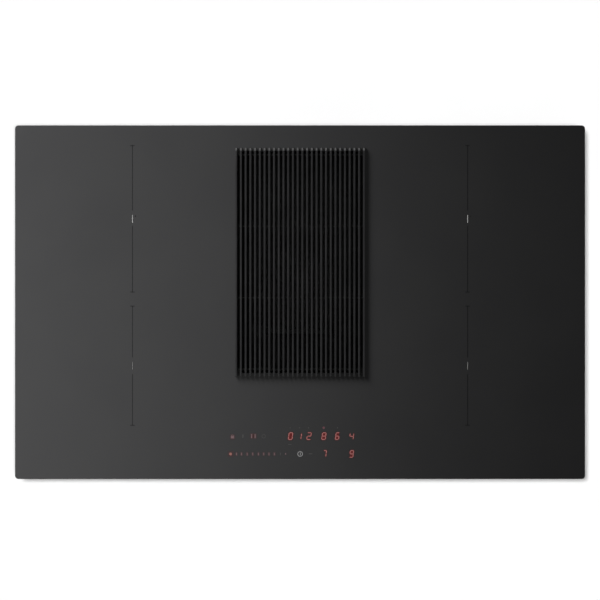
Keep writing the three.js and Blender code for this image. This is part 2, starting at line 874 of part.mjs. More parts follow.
// A leaf spring on the tray's side wall. It bows outwards and presses on the cut-out's edge.
function sideClip(side, end) {
  const wall = trayWidth / 2 + seatGap;
  const top = trayTop - clipDrop;
  const y = end * (trayLength / 2 - clipFromEnds);
  const leaf = new THREE.Shape();
  leaf.moveTo(wall, top);
  leaf.lineTo(wall, top - clipHeight / 4);
  leaf.quadraticCurveTo(wall + 2 * clipBulge - clipSheet * 2, top - clipHeight / 2, wall, top - clipHeight);
  leaf.lineTo(wall + clipSheet, top - clipHeight);
  leaf.quadraticCurveTo(
    wall + 2 * clipBulge - clipSheet / 2,
    top - clipHeight / 2,
    wall + clipSheet,
    top - clipHeight / 4,
  );
  leaf.lineTo(wall + clipSheet, top);
  leaf.closePath();
  const right = frontProfile(leaf, [y - clipWidth / 2, y + clipWidth / 2], 5);
  return side > 0 ? right : right.rotate([0, 0, 180]).translate([0, 2 * y, 0]);
}

addPiece(cooktop, "chassis_tray", chassisTray(), zincSheet);
[
  [-1, -1],
  [1, -1],
  [-1, 1],
  [1, 1],
].forEach(([side, end], i) => addPiece(cooktop, `side_clip_${i + 1}`, sideClip(side, end), steel));

// ---------------------------------------------------------------- induction zones

// A folded aluminium sheet: a table for two coils, on flanges that stand on the tray's floor.
function coilSupport() {
  const x = [-supportWidth / 2, supportWidth / 2];
  const y = [supportFront, supportBack];
  const table = block(x, y, [supportBottom, supportTop]);
  const flanges = [-1, 1].map((side) => {
    const edge = (side * supportWidth) / 2;
    const inner = edge - side * supportSheet;
    return block([Math.min(edge, inner), Math.max(edge, inner)], y, [onTrayFloor, supportTop]);
  });
  const holeX = formerHubRadius + sensorRadius;
  const wireHoles = [rearZoneY, frontZoneY].map((zoneY) =>
    rod(sensorRadius / 2, supportBottom - overrun, supportTop + overrun, 12, holeX, zoneY),
  );
  return cut(join(table, ...flanges), ...wireHoles);
}

// The coil former: a hub, a ring and broad spokes, which carry the winding.
function coilFormer(zoneRadius) {
  const sides = 18;
  const rim = cut(
    rod(zoneRadius, formerBottom, formerTop, sides),
    rod(zoneRadius - formerRing, formerBottom - overrun, formerTop + overrun, sides),
  );
  const hub = rod(formerHubRadius, formerBottom, formerTop, 6);
  const spokes = around(formerSpokes, (_, angle) =>
    block(
      [formerHubRadius / 2, zoneRadius - formerRing / 2],
      [-formerSpokeWidth / 2, formerSpokeWidth / 2],
      [formerBottom, formerTop],
    ).rotate([0, 0, THREE.MathUtils.radToDeg(angle)]),
  );
  const bore = rod(sensorRadius + sensorClearance, formerBottom - overrun, formerTop + overrun, 8);
  return cut(join(rim, hub, ...spokes), bore);
}

// A flat spiral of stranded copper. Each turn lies beside the last, and the wire is one unbroken strip.
function inductionCoil(zoneRadius, turns) {
  const stepsPerTurn = 16;
  const first = coilInnerRadius + wireWidth / 2;
  const last = zoneRadius - coilMargin - wireWidth / 2;
  const pitch = (last - first) / turns;
  const rings = Array.from({ length: turns * stepsPerTurn + 1 }, (_, i) => {
    const angle = (i / stepsPerTurn) * 2 * Math.PI;
    const radius = first + (pitch * i) / stepsPerTurn;
    const at = (offset, z) =>
      new THREE.Vector3((radius + offset) * Math.cos(angle), (radius + offset) * Math.sin(angle), z);
    return [
      at(-wireWidth / 2, coilBottom),
      at(wireWidth / 2, coilBottom),
      at(wireWidth / 2, coilTop),
      at(-wireWidth / 2, coilTop),
    ];
  });
  return { solid: loft(rings), gap: pitch * Math.cos(Math.PI / stepsPerTurn) - wireWidth };
}

function micaSheet() {
  const sheet = block(
    [-supportWidth / 2 + bayMargin, supportWidth / 2 - bayMargin],
    [supportFront + bayMargin / 2, supportBack - bayMargin / 2],
    [micaBottom, underGlass],
  );
  const holes = [rearZoneY, frontZoneY].map((y) =>
    rod(sensorRadius + sensorClearance, micaBottom - overrun, underGlass + overrun, 16, 0, y),
  );
  return cut(sheet, ...holes);
}

// A spring-loaded temperature probe in the middle of a coil, whose cap touches the glass.
const zoneSensor = () =>
  revolve(
    [
      [0, supportTop + seatGap],
      [sensorRadius, supportTop + seatGap],
      [sensorRadius, formerTop],
      [sensorCapRadius, coilTop],
      [sensorCapRadius, underGlass],
      [0, underGlass],
    ],
    8,
  );

// ---------------------------------------------------------------- power electronics and cooling

function boardBase() {
  const x = boardWidth / 2;
  const plate = block([-x, x], [boardFront, boardBack], [onTrayFloor, onTrayFloor + boardBaseThickness]);
  const posts = [-1, 0, 1].flatMap((along) =>
    [-1, 1].map((side) =>
      rod(
        boardPostRadius,
        onTrayFloor,
        boardBottom - seatGap,
        6,
        side * (x - 2 * boardPostRadius),
        (boardFront + boardBack) / 2 + along * ((boardBack - boardFront) / 2 - 2 * boardPostRadius),
      ),
    ),
  );
  return join(plate, ...posts);
}

// The inverter board with the parts soldered to it.
// Film capacitors stand on one side of the heat sink, and chokes on the other.
function powerBoard() {
  const x = boardWidth / 2;
  const board = block([-x, x], [boardFront, boardBack], [boardBottom, boardTop]);
  const aisle = (sinkWidth / 2 + x) / 2;
  const middle = (boardFront + boardBack) / 2;
  const capacitors = [-1, 0, 1].map((i) => {
    const y = middle + i * 2 * capacitorLength;
    return block(
      [-aisle - capacitorWidth / 2, -aisle + capacitorWidth / 2],
      [y - capacitorLength / 2, y + capacitorLength / 2],
      [boardBottom, boardTop + capacitorHeight],
    );
  });
  const chokes = [-1, 1].map((i) => {
    const ring = revolve(
      [
        [chokeBore, boardTop - boardThickness / 2],
        [chokeRadius, boardTop - boardThickness / 2],
        [chokeRadius, boardTop + chokeHeight - chokeShoulder[1]],
        [chokeRadius - chokeShoulder[0], boardTop + chokeHeight],
        [chokeBore, boardTop + chokeHeight],
        [chokeBore, boardTop - boardThickness / 2],
      ],
      10,
    );
    return ring.translate([aisle, middle + i * chokeSpacing, 0]);
  });
  return join(board, ...capacitors, ...chokes);
}

// An extruded heat sink: fins on a base, lengthwise with the fan's air.
function heatSink() {
  const low = boardTop + seatGap;
  const shape = new THREE.Shape();
  const half = sinkWidth / 2;
  const pitch = (sinkWidth - sinkFinThickness) / (sinkFins - 1);
  shape.moveTo(-half, low);
  shape.lineTo(half, low);
  for (let i = sinkFins - 1; i >= 0; i--) {
    const left = -half + i * pitch;
    shape.lineTo(left + sinkFinThickness, low + sinkHeight);
    shape.lineTo(left, low + sinkHeight);
    if (i > 0) {
      shape.lineTo(left, low + sinkBase);
      shape.lineTo(left - pitch + sinkFinThickness, low + sinkBase);
    }
  }
  return frontProfile(shape, [boardFront + sinkMargin, boardBack - sinkMargin]);
}

function coolerFrame() {
  const top = onTrayFloor + coolerHeight;
  const outline = roundedRectangle(coolerSize, coolerSize, coolerCorner);
  const body = cut(
    prism(outline, onTrayFloor, top, 1),
    rod(coolerBore, onTrayFloor - overrun, top + overrun, 18),
  );
  const plate = rod(coolerHubRadius, onTrayFloor, onTrayFloor + coolerPlate, 12);
  const spindle = rod(spindleRadius, onTrayFloor, onTrayFloor + coolerPlate + spindleHeight, 6);
  const struts = around(4, (_, angle) =>
    block(
      [coolerHubRadius / 2, coolerBore + coolerCorner / 2],
      [-coolerStrut / 2, coolerStrut / 2],
      [onTrayFloor, onTrayFloor + coolerPlate],
    ).rotate([0, 0, coolerStrutAngle + THREE.MathUtils.radToDeg(angle)]),
  );
  return join(body, plate, spindle, ...struts);
}

// A bladed rotor: each blade is a twisted plank from the hub to just short of the frame's bore.
function coolerRotor() {
  const low = onTrayFloor + coolerPlate + coolerEndGap;
  const high = onTrayFloor + coolerHeight - coolerEndGap;
  const hub = rod(coolerHubRadius, low, high, 12);
  const bore = rod(spindleRadius + spindleGap, low - overrun, low + spindleHeight, 6);
  const tip = coolerBore - coolerTipGap;
  const height = high - low - coolerBladeThickness;
  const blades = around(coolerBlades, (_, angle) => {
    const section = (radius, pitch) => {
      const rise = height / 2;
      const run = rise / Math.tan(degrees(pitch));
      return [
        [-1, -1],
        [1, -1],
        [1, 1],
        [-1, 1],
      ].map(([edge, end]) => {
        const sweep = (end * run) / radius + (edge * coolerBladeThickness) / radius;
        const reach = angle + sweep;
        const z = (low + high) / 2 + end * rise;
        return new THREE.Vector3(radius * Math.cos(reach), radius * Math.sin(reach), z);
      });
    };
    const middle = (coolerHubRadius + tip) / 2;
    return loft([
      section(coolerBladeRoot, coolerBladePitch + coolerRootTwist),
      section(middle, coolerBladePitch + coolerMiddleTwist),
      section(tip, coolerBladePitch),
    ]);
  });
  return cut(join(hub, ...blades), bore);
}

function coilBay(side, name) {
  const bay = new THREE.Group();
  bay.position.x = side * zoneX;
  addPiece(bay, `coil_support_${name}`, coilSupport(), aluminium);
  addPiece(bay, `mica_sheet_${name}`, micaSheet(), mica);
  const zones = [
    ["rear", rearZoneRadius, rearZoneY, rearCoilTurns],
    ["front", frontZoneRadius, frontZoneY, frontCoilTurns],
  ];
  for (const [place, radius, y, turns] of zones) {
    const { solid, gap } = inductionCoil(radius, turns);
    console.log(`induction_coil_${place}_${name}: least gap between turns ${gap.toFixed(2)} mm`);
    addPiece(bay, `coil_former_${place}_${name}`, coilFormer(radius), blackMoulding).position.y = y;
    addPiece(bay, `induction_coil_${place}_${name}`, solid, copper).position.y = y;
    addPiece(bay, `zone_sensor_${place}_${name}`, zoneSensor(), whiteMoulding).position.y = y;
  }
  addPiece(bay, `board_base_${name}`, boardBase(), greyMoulding);
  addPiece(bay, `power_board_${name}`, powerBoard(), circuitBoard);
  addPiece(bay, `heat_sink_${name}`, heatSink(), aluminium);
  addPiece(bay, `cooling_fan_frame_${name}`, coolerFrame(), blackMoulding).position.y = coolerY;
  addPiece(bay, `cooling_fan_rotor_${name}`, coolerRotor(), greyMoulding).position.y = coolerY;
  return bay;
}

cooktop.add(coilBay(-1, "left"), coilBay(1, "right"));

// ---------------------------------------------------------------- touch control module

const digitPlaces = [
  ...backRowDigits.map((x) => [x, displayRowBack]),
  ...frontRowDigits.map((x) => [x, displayRowFront]),
];
const keyPlaces = Array.from({ length: keyCount }, (_, i) => [firstKey + i * keySpacing, displayRowBack]);

// An open tray under the glass, on four legs that stand on the chassis floor.
function controlHousing() {
  const x = controlHalfWidth;
  const innerDepth = controlDepth - 2 * controlWall;
  const outline = roundedRectangle(2 * x, controlDepth, controlCorner, 0, controlY);
  const inside = roundedRectangle(2 * (x - controlWall), innerDepth, controlInnerCorner, 0, controlY);
  const shell = cut(
    prism(outline, controlBottom, underGlass, 1),
    prism(inside, controlBottom + controlWall, underGlass + overrun, 1),
  );
  const legs = [-1, 1].flatMap((side) =>
    [-1, 1].map((end) =>
      rod(
        controlLegRadius,
        onTrayFloor,
        controlBottom + controlWall / 2,
        10,
        side * (x - 2 * controlLegRadius),
        controlY + end * (controlDepth / 2 - 2 * controlLegRadius),
      ),
    ),
  );
  return join(shell, ...legs);
}

// The touch board with its seven-segment cells and key domes. It lies on ribs moulded under it.
function touchBoard() {
  const x = controlHalfWidth - controlWall - touchBoardGap;
  const y = controlDepth / 2 - controlWall - touchBoardGap;
  const low = controlBottom + controlWall + seatGap;
  const board = block([-x, x], [controlY - y, controlY + y], [touchBoardTop - boardThickness, touchBoardTop]);
  const ribs = [-1, 0, 1].map((i) =>
    block(
      [i * (x - touchRibInset) - touchRibWidth / 2, i * (x - touchRibInset) + touchRibWidth / 2],
      [controlY - y + touchRibSetback, controlY + y - touchRibSetback],
      [low, touchBoardTop - boardThickness / 2],
    ),
  );
  const cells = digitPlaces.map(([cx, cy]) =>
    block(
      [cx - digitWidth / 2, cx + digitWidth / 2],
      [cy - digitSize / 2, cy + digitSize / 2],
      [touchBoardTop - boardThickness / 2, touchBoardTop + digitHeight],
    ),
  );
  return join(board, ...ribs, ...cells);
}

// The black plate that keeps the light of one cell or key from its neighbours.
function lightGuide() {
  const x = controlHalfWidth - controlWall - touchBoardGap;
  const y = controlDepth / 2 - controlWall - touchBoardGap;
  const low = touchBoardTop + seatGap;
  const plate = block([-x, x], [controlY - y, controlY + y], [low, low + guideThickness]);
  const windows = digitPlaces.map(([cx, cy]) =>
    block(
      [cx - digitWidth / 2 - guideGap, cx + digitWidth / 2 + guideGap],
      [cy - digitSize / 2 - guideGap / 2, cy + digitSize / 2 + guideGap / 2],
      [low - overrun, low + guideThickness + overrun],
    ),
  );
  const keys = keyPlaces.map(([cx, cy]) =>
    rod(digitWidth / 2, low - overrun, low + guideThickness + overrun, 10, cx, cy),
  );
  const slider = block(
    [sliderStart - sliderEndGap, sliderEnd + sliderEndGap],
    [displayRowFront - sliderHeight / 2, displayRowFront + sliderHeight / 2],
    [low - overrun, low + guideThickness + overrun],
  );
  return cut(plate, ...windows, ...keys, slider);
}

addPiece(cooktop, "control_housing", controlHousing(), blackMoulding);
addPiece(cooktop, "touch_board", touchBoard(), circuitBoard);
addPiece(cooktop, "light_guide", lightGuide(), blackMoulding);

// ---------------------------------------------------------------- plenum, deck and blower

// The plenum's plan: a part under the well and a wing over the blower.
function plenumPlan(inset, low, high) {
  const shrink = ([a, b]) => [a + inset, b - inset];
  const corner = plenumCorner - inset;
  const wellHalf = shrink([plenumX[0], -plenumX[0]]);
  return join(
    prism(spanRectangle(wellHalf, shrink(plenumY), corner), low, high),
    prism(spanRectangle(shrink(wingX), shrink(wingY), corner), low, high),
  );
}

function plenumCover() {
  const shell = cut(
    plenumPlan(0, plenumBottom, plenumTop),
    plenumPlan(plenumWall, plenumBottom - overrun, plenumTop - plenumWall),
  );
  const opening = roundedRectangle(
    wellInnerWidth + 2 * wellSetback,
    wellInnerDepth + 2 * wellSetback,
    inletCorner + wellWall,
    0,
    inletY,
  );
  const ribs = [
    ...wallRibs(wingY).map((y) => [[plenumX[1] - plenumWall / 2, plenumX[1] + plenumRib], y]),
    ...wallRibs(plenumY).map((y) => [[plenumX[0] - plenumRib, plenumX[0] + plenumWall / 2], y]),
    ...wallRibs([-plenumX[0], plenumX[1]]).map((x) => [x, [wingY[0] - plenumRib, wingY[0] + plenumWall / 2]]),
  ].map(([x, y]) => block(x, y, [plenumBottom, plenumTop - plenumWall]));
  return cut(join(shell, ...ribs), prism(opening, plenumTop - plenumWall - overrun, plenumTop + overrun));
}

// Where a wall's stiffening ribs stand: evenly along it, clear of its round corners.
function wallRibs([low, high]) {
  const length = high - low - 2 * plenumCorner;
  const count = Math.max(2, Math.round(length / plenumRibPitch));
  return Array.from({ length: count }, (_, i) => {
    const middle = low + plenumCorner + ((i + 0.5) * length) / count;
    return [middle - plenumRibThickness / 2, middle + plenumRibThickness / 2];
  });
}

// The deck closes the plenum from below.
// It carries the blower's bellmouth and lets spills drain into the tank.
function fanDeck() {
  const drain = roundedRectangle(drainWidth, drainDepth, plenumCorner, 0, tankY);
  const lipBottom = deckBottom - deckLip;
  const halfRound = eyeRound * (1 - Math.SQRT1_2); // how far the round's middle has left each face
  const mouth = revolve(
    [
      [eyeRadius + eyeRound, deckTop],
      [eyeRadius + halfRound, deckTop - halfRound],
      [eyeRadius, deckTop - eyeRound],
      [eyeRadius, lipBottom],
      [eyeRadius + plenumWall, lipBottom],
      [eyeRadius + eyeRound + plenumWall, deckBottom],
      [eyeRadius + eyeRound + plenumWall, deckTop],
      [eyeRadius + eyeRound, deckTop],
    ],
    24,
  ).translate([fanX, fanY, 0]);
  const plate = cut(
    plenumPlan(0, deckBottom, deckTop),
    rod(eyeRadius + eyeRound + plenumWall / 2, deckBottom - overrun, deckTop + overrun, 24, fanX, fanY),
    prism(drain, deckBottom - overrun, deckTop + overrun),
  );
  return join(plate, mouth);
}

// The scroll's plan: a spiral that opens steadily from the tongue.
// It ends in a straight throat that runs to the back.
function scrollPlan(offset, endY) {
  const steps = 26;
  const outer = scrollEndRadius + offset;
  const inner = throatInnerX - offset;
  const firstAngle = THREE.MathUtils.radToDeg(Math.acos(inner / (scrollStartRadius + offset)));
  const shape = new THREE.Shape();
  for (let i = 0; i <= steps; i++) {
    const angle = firstAngle + ((360 - firstAngle) * i) / steps;
    const radius = scrollRadiusAt(Math.max(angle, cutoffAngle)) + offset;
    const x = fanX + radius * Math.cos(degrees(angle));
    const y = fanY + radius * Math.sin(degrees(angle));
    if (i === 0) shape.moveTo(x, y);
    else shape.lineTo(x, y);
  }
  shape.lineTo(fanX + outer, endY);
  shape.lineTo(fanX + inner, endY);
  shape.closePath();
  return shape;
}

function scrollCasing() {
  const shell = cut(
    prism(scrollPlan(scrollWall, throatY), scrollBottom, scrollTop),
    prism(scrollPlan(0, throatY + overrun), scrollFloor, scrollTop + overrun),
  );
  const holeRadius = motorRadius + motorHoleGap;
  const motorHole = rod(holeRadius, scrollBottom - overrun, scrollFloor + overrun, 24, fanX, fanY);
  const flange = cut(
    prism(scrollPlan(scrollWall + scrollFlange, throatY), scrollTop - scrollFlangeThickness, scrollTop),
    prism(scrollPlan(scrollWall / 2, throatY + overrun), scrollBottom, scrollTop + overrun),
  );
  const ribs = Array.from({ length: scrollRibs }, (_, i) => {
    const angle = cutoffAngle + ((i + 1) * (360 - cutoffAngle)) / (scrollRibs + 0.5);
    const wall = scrollRadiusAt(angle) + scrollWall;
    const rib = block(
      [wall - scrollWall / 2, wall + scrollRibDepth],
      [-scrollRibThickness / 2, scrollRibThickness / 2],
      [scrollBottom, scrollTop - scrollFlangeThickness / 2],
    );
    return rib.rotate([0, 0, angle]).translate([fanX, fanY, 0]);
  });
  return join(cut(shell, motorHole), flange, ...ribs);
}

// The impeller: forward-curved blades between a back plate and a top ring, and a cup that covers the motor.
function impeller() {
  const sides = 26;
  const cupRadius = motorRadius + hubCupGap;
  const cupTop = motorTop + hubCupGap;
  const wheel = revolve(
    [
      [cupRadius, impellerBottom],
      [impellerRadius, impellerBottom],
      [impellerRadius, impellerBottom + impellerPlate],
      [cupRadius + hubCupWall, impellerBottom + impellerPlate],
      [cupRadius + hubCupWall, cupTop + hubCupWall],
      [hubBossRadius, cupTop + hubCupWall],
      [hubBossRadius, cupTop + hubBossHeight],
      [shaftRadius + seatGap, cupTop + hubBossHeight],
      [shaftRadius + seatGap, cupTop],
      [cupRadius, cupTop],
      [cupRadius, impellerBottom],
    ],
    sides,
  );
  const ring = revolve(
    [
      [impellerInnerRadius, impellerTop - impellerRing],
      [impellerRadius, impellerTop - impellerRing],
      [impellerRadius, impellerTop],
      [impellerInnerRadius, impellerTop],
      [impellerInnerRadius, impellerTop - impellerRing],
    ],
    sides,
  );
  const bladeInner = impellerInnerRadius + bladeSetback;
  const bladeOuter = impellerRadius * Math.cos(Math.PI / sides) - bladeTipSetback;
  const curve = [0, 0.5, 1].map((t) => {
    const radius = bladeInner + (bladeOuter - bladeInner) * t;
    const angle = degrees(impellerBladeSweep) * t * t;
    return [radius, angle];
  });
  const face = (offset) =>
    curve.map(([radius, angle]) => {
      const turned = angle + offset / radius;
      return new THREE.Vector2(radius * Math.cos(turned), radius * Math.sin(turned));
    });
  const half = impellerBladeThickness / 2;
  const outline = new THREE.Shape([...face(-half), ...face(half).reverse()]);
  const blade = prism(outline, impellerBottom + impellerPlate / 2, impellerTop - impellerRing / 2);
  const blades = around(impellerBlades, (_, angle) => blade.rotate([0, 0, THREE.MathUtils.radToDeg(angle)]));
  return join(wheel, ring, ...blades);
}

function blowerMotor() {
  const flangeTop = scrollBottom - seatGap;
  const flangeBottom = flangeTop - motorFlange;
  const body = revolve(
    [
      [0, flangeBottom],
      [motorFlangeRadius - motorChamfer, flangeBottom],
      [motorFlangeRadius, flangeBottom + motorFlangeChamfer],
      [motorFlangeRadius, flangeTop],
      [motorRadius, flangeTop],
      [motorRadius, motorTop - motorChamfer],
      [motorRadius - motorChamfer, motorTop],
      [0, motorTop],
    ],
    20,
  );
  const lugs = around(motorLugs, (_, angle) =>
    rod(
      motorLugRadius,
      flangeBottom + motorFlangeChamfer / 2,
      flangeTop,
      8,
      motorFlangeRadius * Math.cos(angle),
      motorFlangeRadius * Math.sin(angle),
    ),
  );
  const bore = rod(shaftRadius + shaftClearance, motorTop - shaftSeat, motorTop + overrun, 12);
  return cut(join(body, ...lugs), bore);
}

function motorShaft() {
  const hubTop = motorTop + hubCupGap + hubBossHeight;
  return rod(shaftRadius, motorTop - shaftSeat + shaftEndGap, hubTop + shaftProud, 12);
}

// The outlet: a flange on the throat, a transition that widens, and a spigot for a flat duct.
function outletSpigot() {
  const throatWidth = scrollEndRadius - throatInnerX;
  const throatHeight = scrollTop - scrollFloor - 2 * spigotWall;
  const startY = throatY + seatGap;
  const spigotY = outletEndY - spigotLength;
  const spigotRing = (grow, y, corner = spigotCorner) =>
    uprightRing(spigotWidth + grow, spigotHeight + grow, corner, outletX, y, outletZ);
  const duct = (inset, extra) => {
    const grow = 2 * (spigotWall - inset);
    return loft([
      uprightRing(throatWidth + grow, throatHeight + grow, spigotCorner, outletX, startY - extra, outletZ),
      spigotRing(-2 * inset, spigotY),
      spigotRing(-2 * inset, outletEndY + extra),
    ]);
  };
  const flange = block(
    [outletX - throatWidth / 2 - outletFlange, outletX + throatWidth / 2 + outletFlange],
    [startY, startY + outletFlangeThickness],
    [scrollBottom, scrollTop],
  );
  const crest = spigotY + spigotBeadSetback;
  const bead = loft([
    spigotRing(0, crest - spigotBeadHalf),
    spigotRing(2 * spigotBead, crest, spigotCorner + spigotBead),
    spigotRing(0, crest + spigotBeadHalf),
  ]);
  return cut(join(duct(0, 0), flange, bead), duct(spigotWall, overrun));
}

addPiece(cooktop, "plenum_cover", plenumCover(), blackMoulding);
addPiece(cooktop, "fan_deck", fanDeck(), blackMoulding);
addPiece(cooktop, "scroll_casing", scrollCasing(), blackMoulding);
addPiece(cooktop, "outlet_spigot", outletSpigot(), blackMoulding);

const blower = new THREE.Group();
blower.position.set(fanX, fanY, 0);
addPiece(blower, "impeller", impeller(), greyMoulding);
addPiece(blower, "blower_motor", blowerMotor(), steel);
addPiece(blower, "motor_shaft", motorShaft(), steel);
cooktop.add(blower);

// ---------------------------------------------------------------- drip tank and its rails

function dripTank() {
  const ring = (inset, z) => {
    const corner = tankCorner - Math.min(inset, tankDraft);
    return levelRing(tankWidth - 2 * inset, tankDepth - 2 * inset, corner, 0, tankY, z);
  };
  const outside = loft([ring(tankDraft, tankBottom), ring(0, tankTop)]);
  const inside = loft([ring(tankDraft + tankWall, tankBottom + tankWall), ring(tankWall, tankTop + overrun)]);
  const rim = prism(
    roundedRectangle(tankWidth + 2 * tankRim, tankDepth, tankCorner, 0, tankY),
    tankTop - tankRimThickness,
    tankTop,
  );
  const front = tankY - tankDepth / 2;
  const pull = prism(
    roundedRectangle(tankWidth / 2, 2 * tankPull, tankCorner / 2, 0, front),
    tankTop - tankRimThickness,
    tankTop,
  );
  return cut(join(outside, rim, pull), inside);
}

// A channel that hangs from the deck with its open side inwards: the tank's rim slides on its foot.
function tankRail(side) {
  const web = [side * (railOuterX - railThickness), side * railOuterX].sort((a, b) => a - b);
  const foot = [side * (tankRimX - tankRim + railClearance), side * railOuterX].sort((a, b) => a - b);
  const y = [tankY - tankDepth / 2, tankY + tankDepth / 2];
  const top = deckBottom - seatGap;
  const footTop = tankTop - tankRimThickness - seatGap;
  return join(
    block(web, y, [footTop - railThickness, top]),
    block(foot, y, [top - railThickness, top]),
    block(foot, y, [footTop - railThickness, footTop]),
  );
}

addPiece(cooktop, "drip_tank", dripTank(), greyMoulding);
addPiece(cooktop, "tank_rail_left", tankRail(-1), zincSheet);
addPiece(cooktop, "tank_rail_right", tankRail(1), zincSheet);

// ---------------------------------------------------------------- mains terminal box

const terminal = new THREE.Group();
terminal.position.set(terminalX, terminalY, 0);
const hingeY = -terminalDepth / 2 - hingeRadius;
const hingeZ = terminalBottom - seatGap - hingeRadius;

function terminalBox() {
  const x = terminalWidth / 2;
  const y = terminalDepth / 2;
  const shell = cut(
    block([-x, x], [-y, y], [terminalBottom, underTray]),
    block(
      [-x + terminalWall, x - terminalWall],
      [-y + terminalWall, y - terminalWall],
      [terminalBottom - overrun, underTray - terminalWall],
    ),
  );
  const glandHole = new THREE.CylinderGeometry(glandHoleRadius, glandHoleRadius, 4 * terminalWall, 16);
  const ears = [-1, 1].map((side) => {
    const ear = new THREE.Shape();
    ear.moveTo(-y + earSetback, terminalBottom);
    ear.lineTo(-y + earSetback, terminalBottom + 4 * hingeRadius);
    ear.lineTo(hingeY - hingeRadius, hingeZ + hingeRadius);
    ear.lineTo(hingeY - hingeRadius, hingeZ - hingeRadius);
    ear.lineTo(hingeY + hingeRadius / 2, hingeZ - hingeRadius);
    ear.lineTo(hingeY + hingeRadius - earEdgeGap, terminalBottom);
    ear.closePath();
    const outer = side * (x - earInset);
    const inner = side * (x - earInset - earThickness);
    return sideProfile(ear, [Math.min(outer, inner), Math.max(outer, inner)]);
  });
  const pinHoleRadius = hingeRadius / 2 + hingeGap;
  const pinHole = new THREE.CylinderGeometry(pinHoleRadius, pinHoleRadius, terminalWidth, 12);
  return cut(
    join(shell, ...ears),
    solidOf(glandHole.translate(glandX, y, glandZ)),
    solidOf(pinHole.rotateZ(Math.PI / 2).translate(0, hingeY, hingeZ)),
  );
}

// The lid drops open on the pin moulded along its front edge.
function terminalCover() {
  const x = terminalWidth / 2;
  const y = terminalDepth / 2;
  const top = terminalBottom - seatGap;
  const plate = block([-x, x], [-y + hingeRadius, y], [top - terminalLid, top]);
  const arm = block([-x + armInset, x - armInset], [hingeY, -y + 2 * hingeRadius], [top - terminalLid, top]);
  const knuckleRadius = hingeRadius - knuckleGap;
  const armLength = terminalWidth - 2 * armInset;
  const knuckle = new THREE.CylinderGeometry(knuckleRadius, knuckleRadius, armLength, 8);
  const pin = new THREE.CylinderGeometry(hingeRadius / 2, hingeRadius / 2, terminalWidth - 2 * earInset, 8);
  const ribs = [-1, 0, 1].map((i) =>
    block(
      [(i * x - lidRibWidth) / 2, (i * x + lidRibWidth) / 2],
      [-y + 3 * hingeRadius, y - lidRibSetback],
      [top - terminalLid - lidRibHeight, top],
    ),
  );
  return join(
    plate,
    arm,
    ...ribs,
    solidOf(knuckle.rotateZ(Math.PI / 2).translate(0, hingeY, hingeZ)),
    solidOf(pin.rotateZ(Math.PI / 2).translate(0, hingeY, hingeZ)),
  );
}

// The terminal block: one body with a square clamp well for each pole.
function terminalBlock() {
  const ceiling = underTray - terminalWall - seatGap;
  const half = (terminalPoles * terminalPoleWidth) / 2;
  const foot = ceiling - terminalBlockHeight;
  const body = block([-half, half], [-terminalBlockDepth / 2, terminalBlockDepth / 2], [foot, ceiling]);
  const poles = Array.from({ length: terminalPoles }, (_, i) => {
    const x = (i - (terminalPoles - 1) / 2) * terminalPoleWidth;
    return block(
      [x - clampWidth / 2, x + clampWidth / 2],
      [-clampDepth / 2, clampDepth / 2],
      [foot - overrun, foot + clampHeight],
    );
  });
  return cut(body, ...poles);
}

// An empty cable gland on the back wall, for the mains lead that the installer brings.
function cableGland() {
  const start = -2 * terminalWall;
  const profile = [
    [glandBore, start],
    [glandThreadRadius, start],
    [glandThreadRadius, seatGap],
    [glandRadius, seatGap],
    [glandRadius, glandNutLength],
    [glandRadius - glandShoulder[0], glandNutLength + glandShoulder[1]],
    [glandTipRadius, glandLength],
    [glandBore, glandLength],
    [glandBore, start],
  ];
  const turned = revolve(profile, 12).rotate([-90, 0, 0]);
  return turned.translate([glandX, terminalDepth / 2, glandZ]);
}

addPiece(terminal, "terminal_box", terminalBox(), whiteMoulding);
addPiece(terminal, "terminal_cover", terminalCover(), whiteMoulding);
addPiece(terminal, "terminal_block", terminalBlock(), whiteMoulding);
addPiece(terminal, "cable_gland", cableGland(), blackMoulding);
cooktop.add(terminal);

export default cooktop;
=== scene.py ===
# %% [markdown]
# # Dressing a downdraft induction cooktop
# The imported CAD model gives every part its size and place. This lesson gives the parts their looks. It makes
# the fine shapes that the CAD leaves plain, such as the rounded slats and the printed marks, and a finish for
# each surface. Everything is in metres in the CAD's own frame, so nothing here is moved to fit.

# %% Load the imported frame
import json
import math

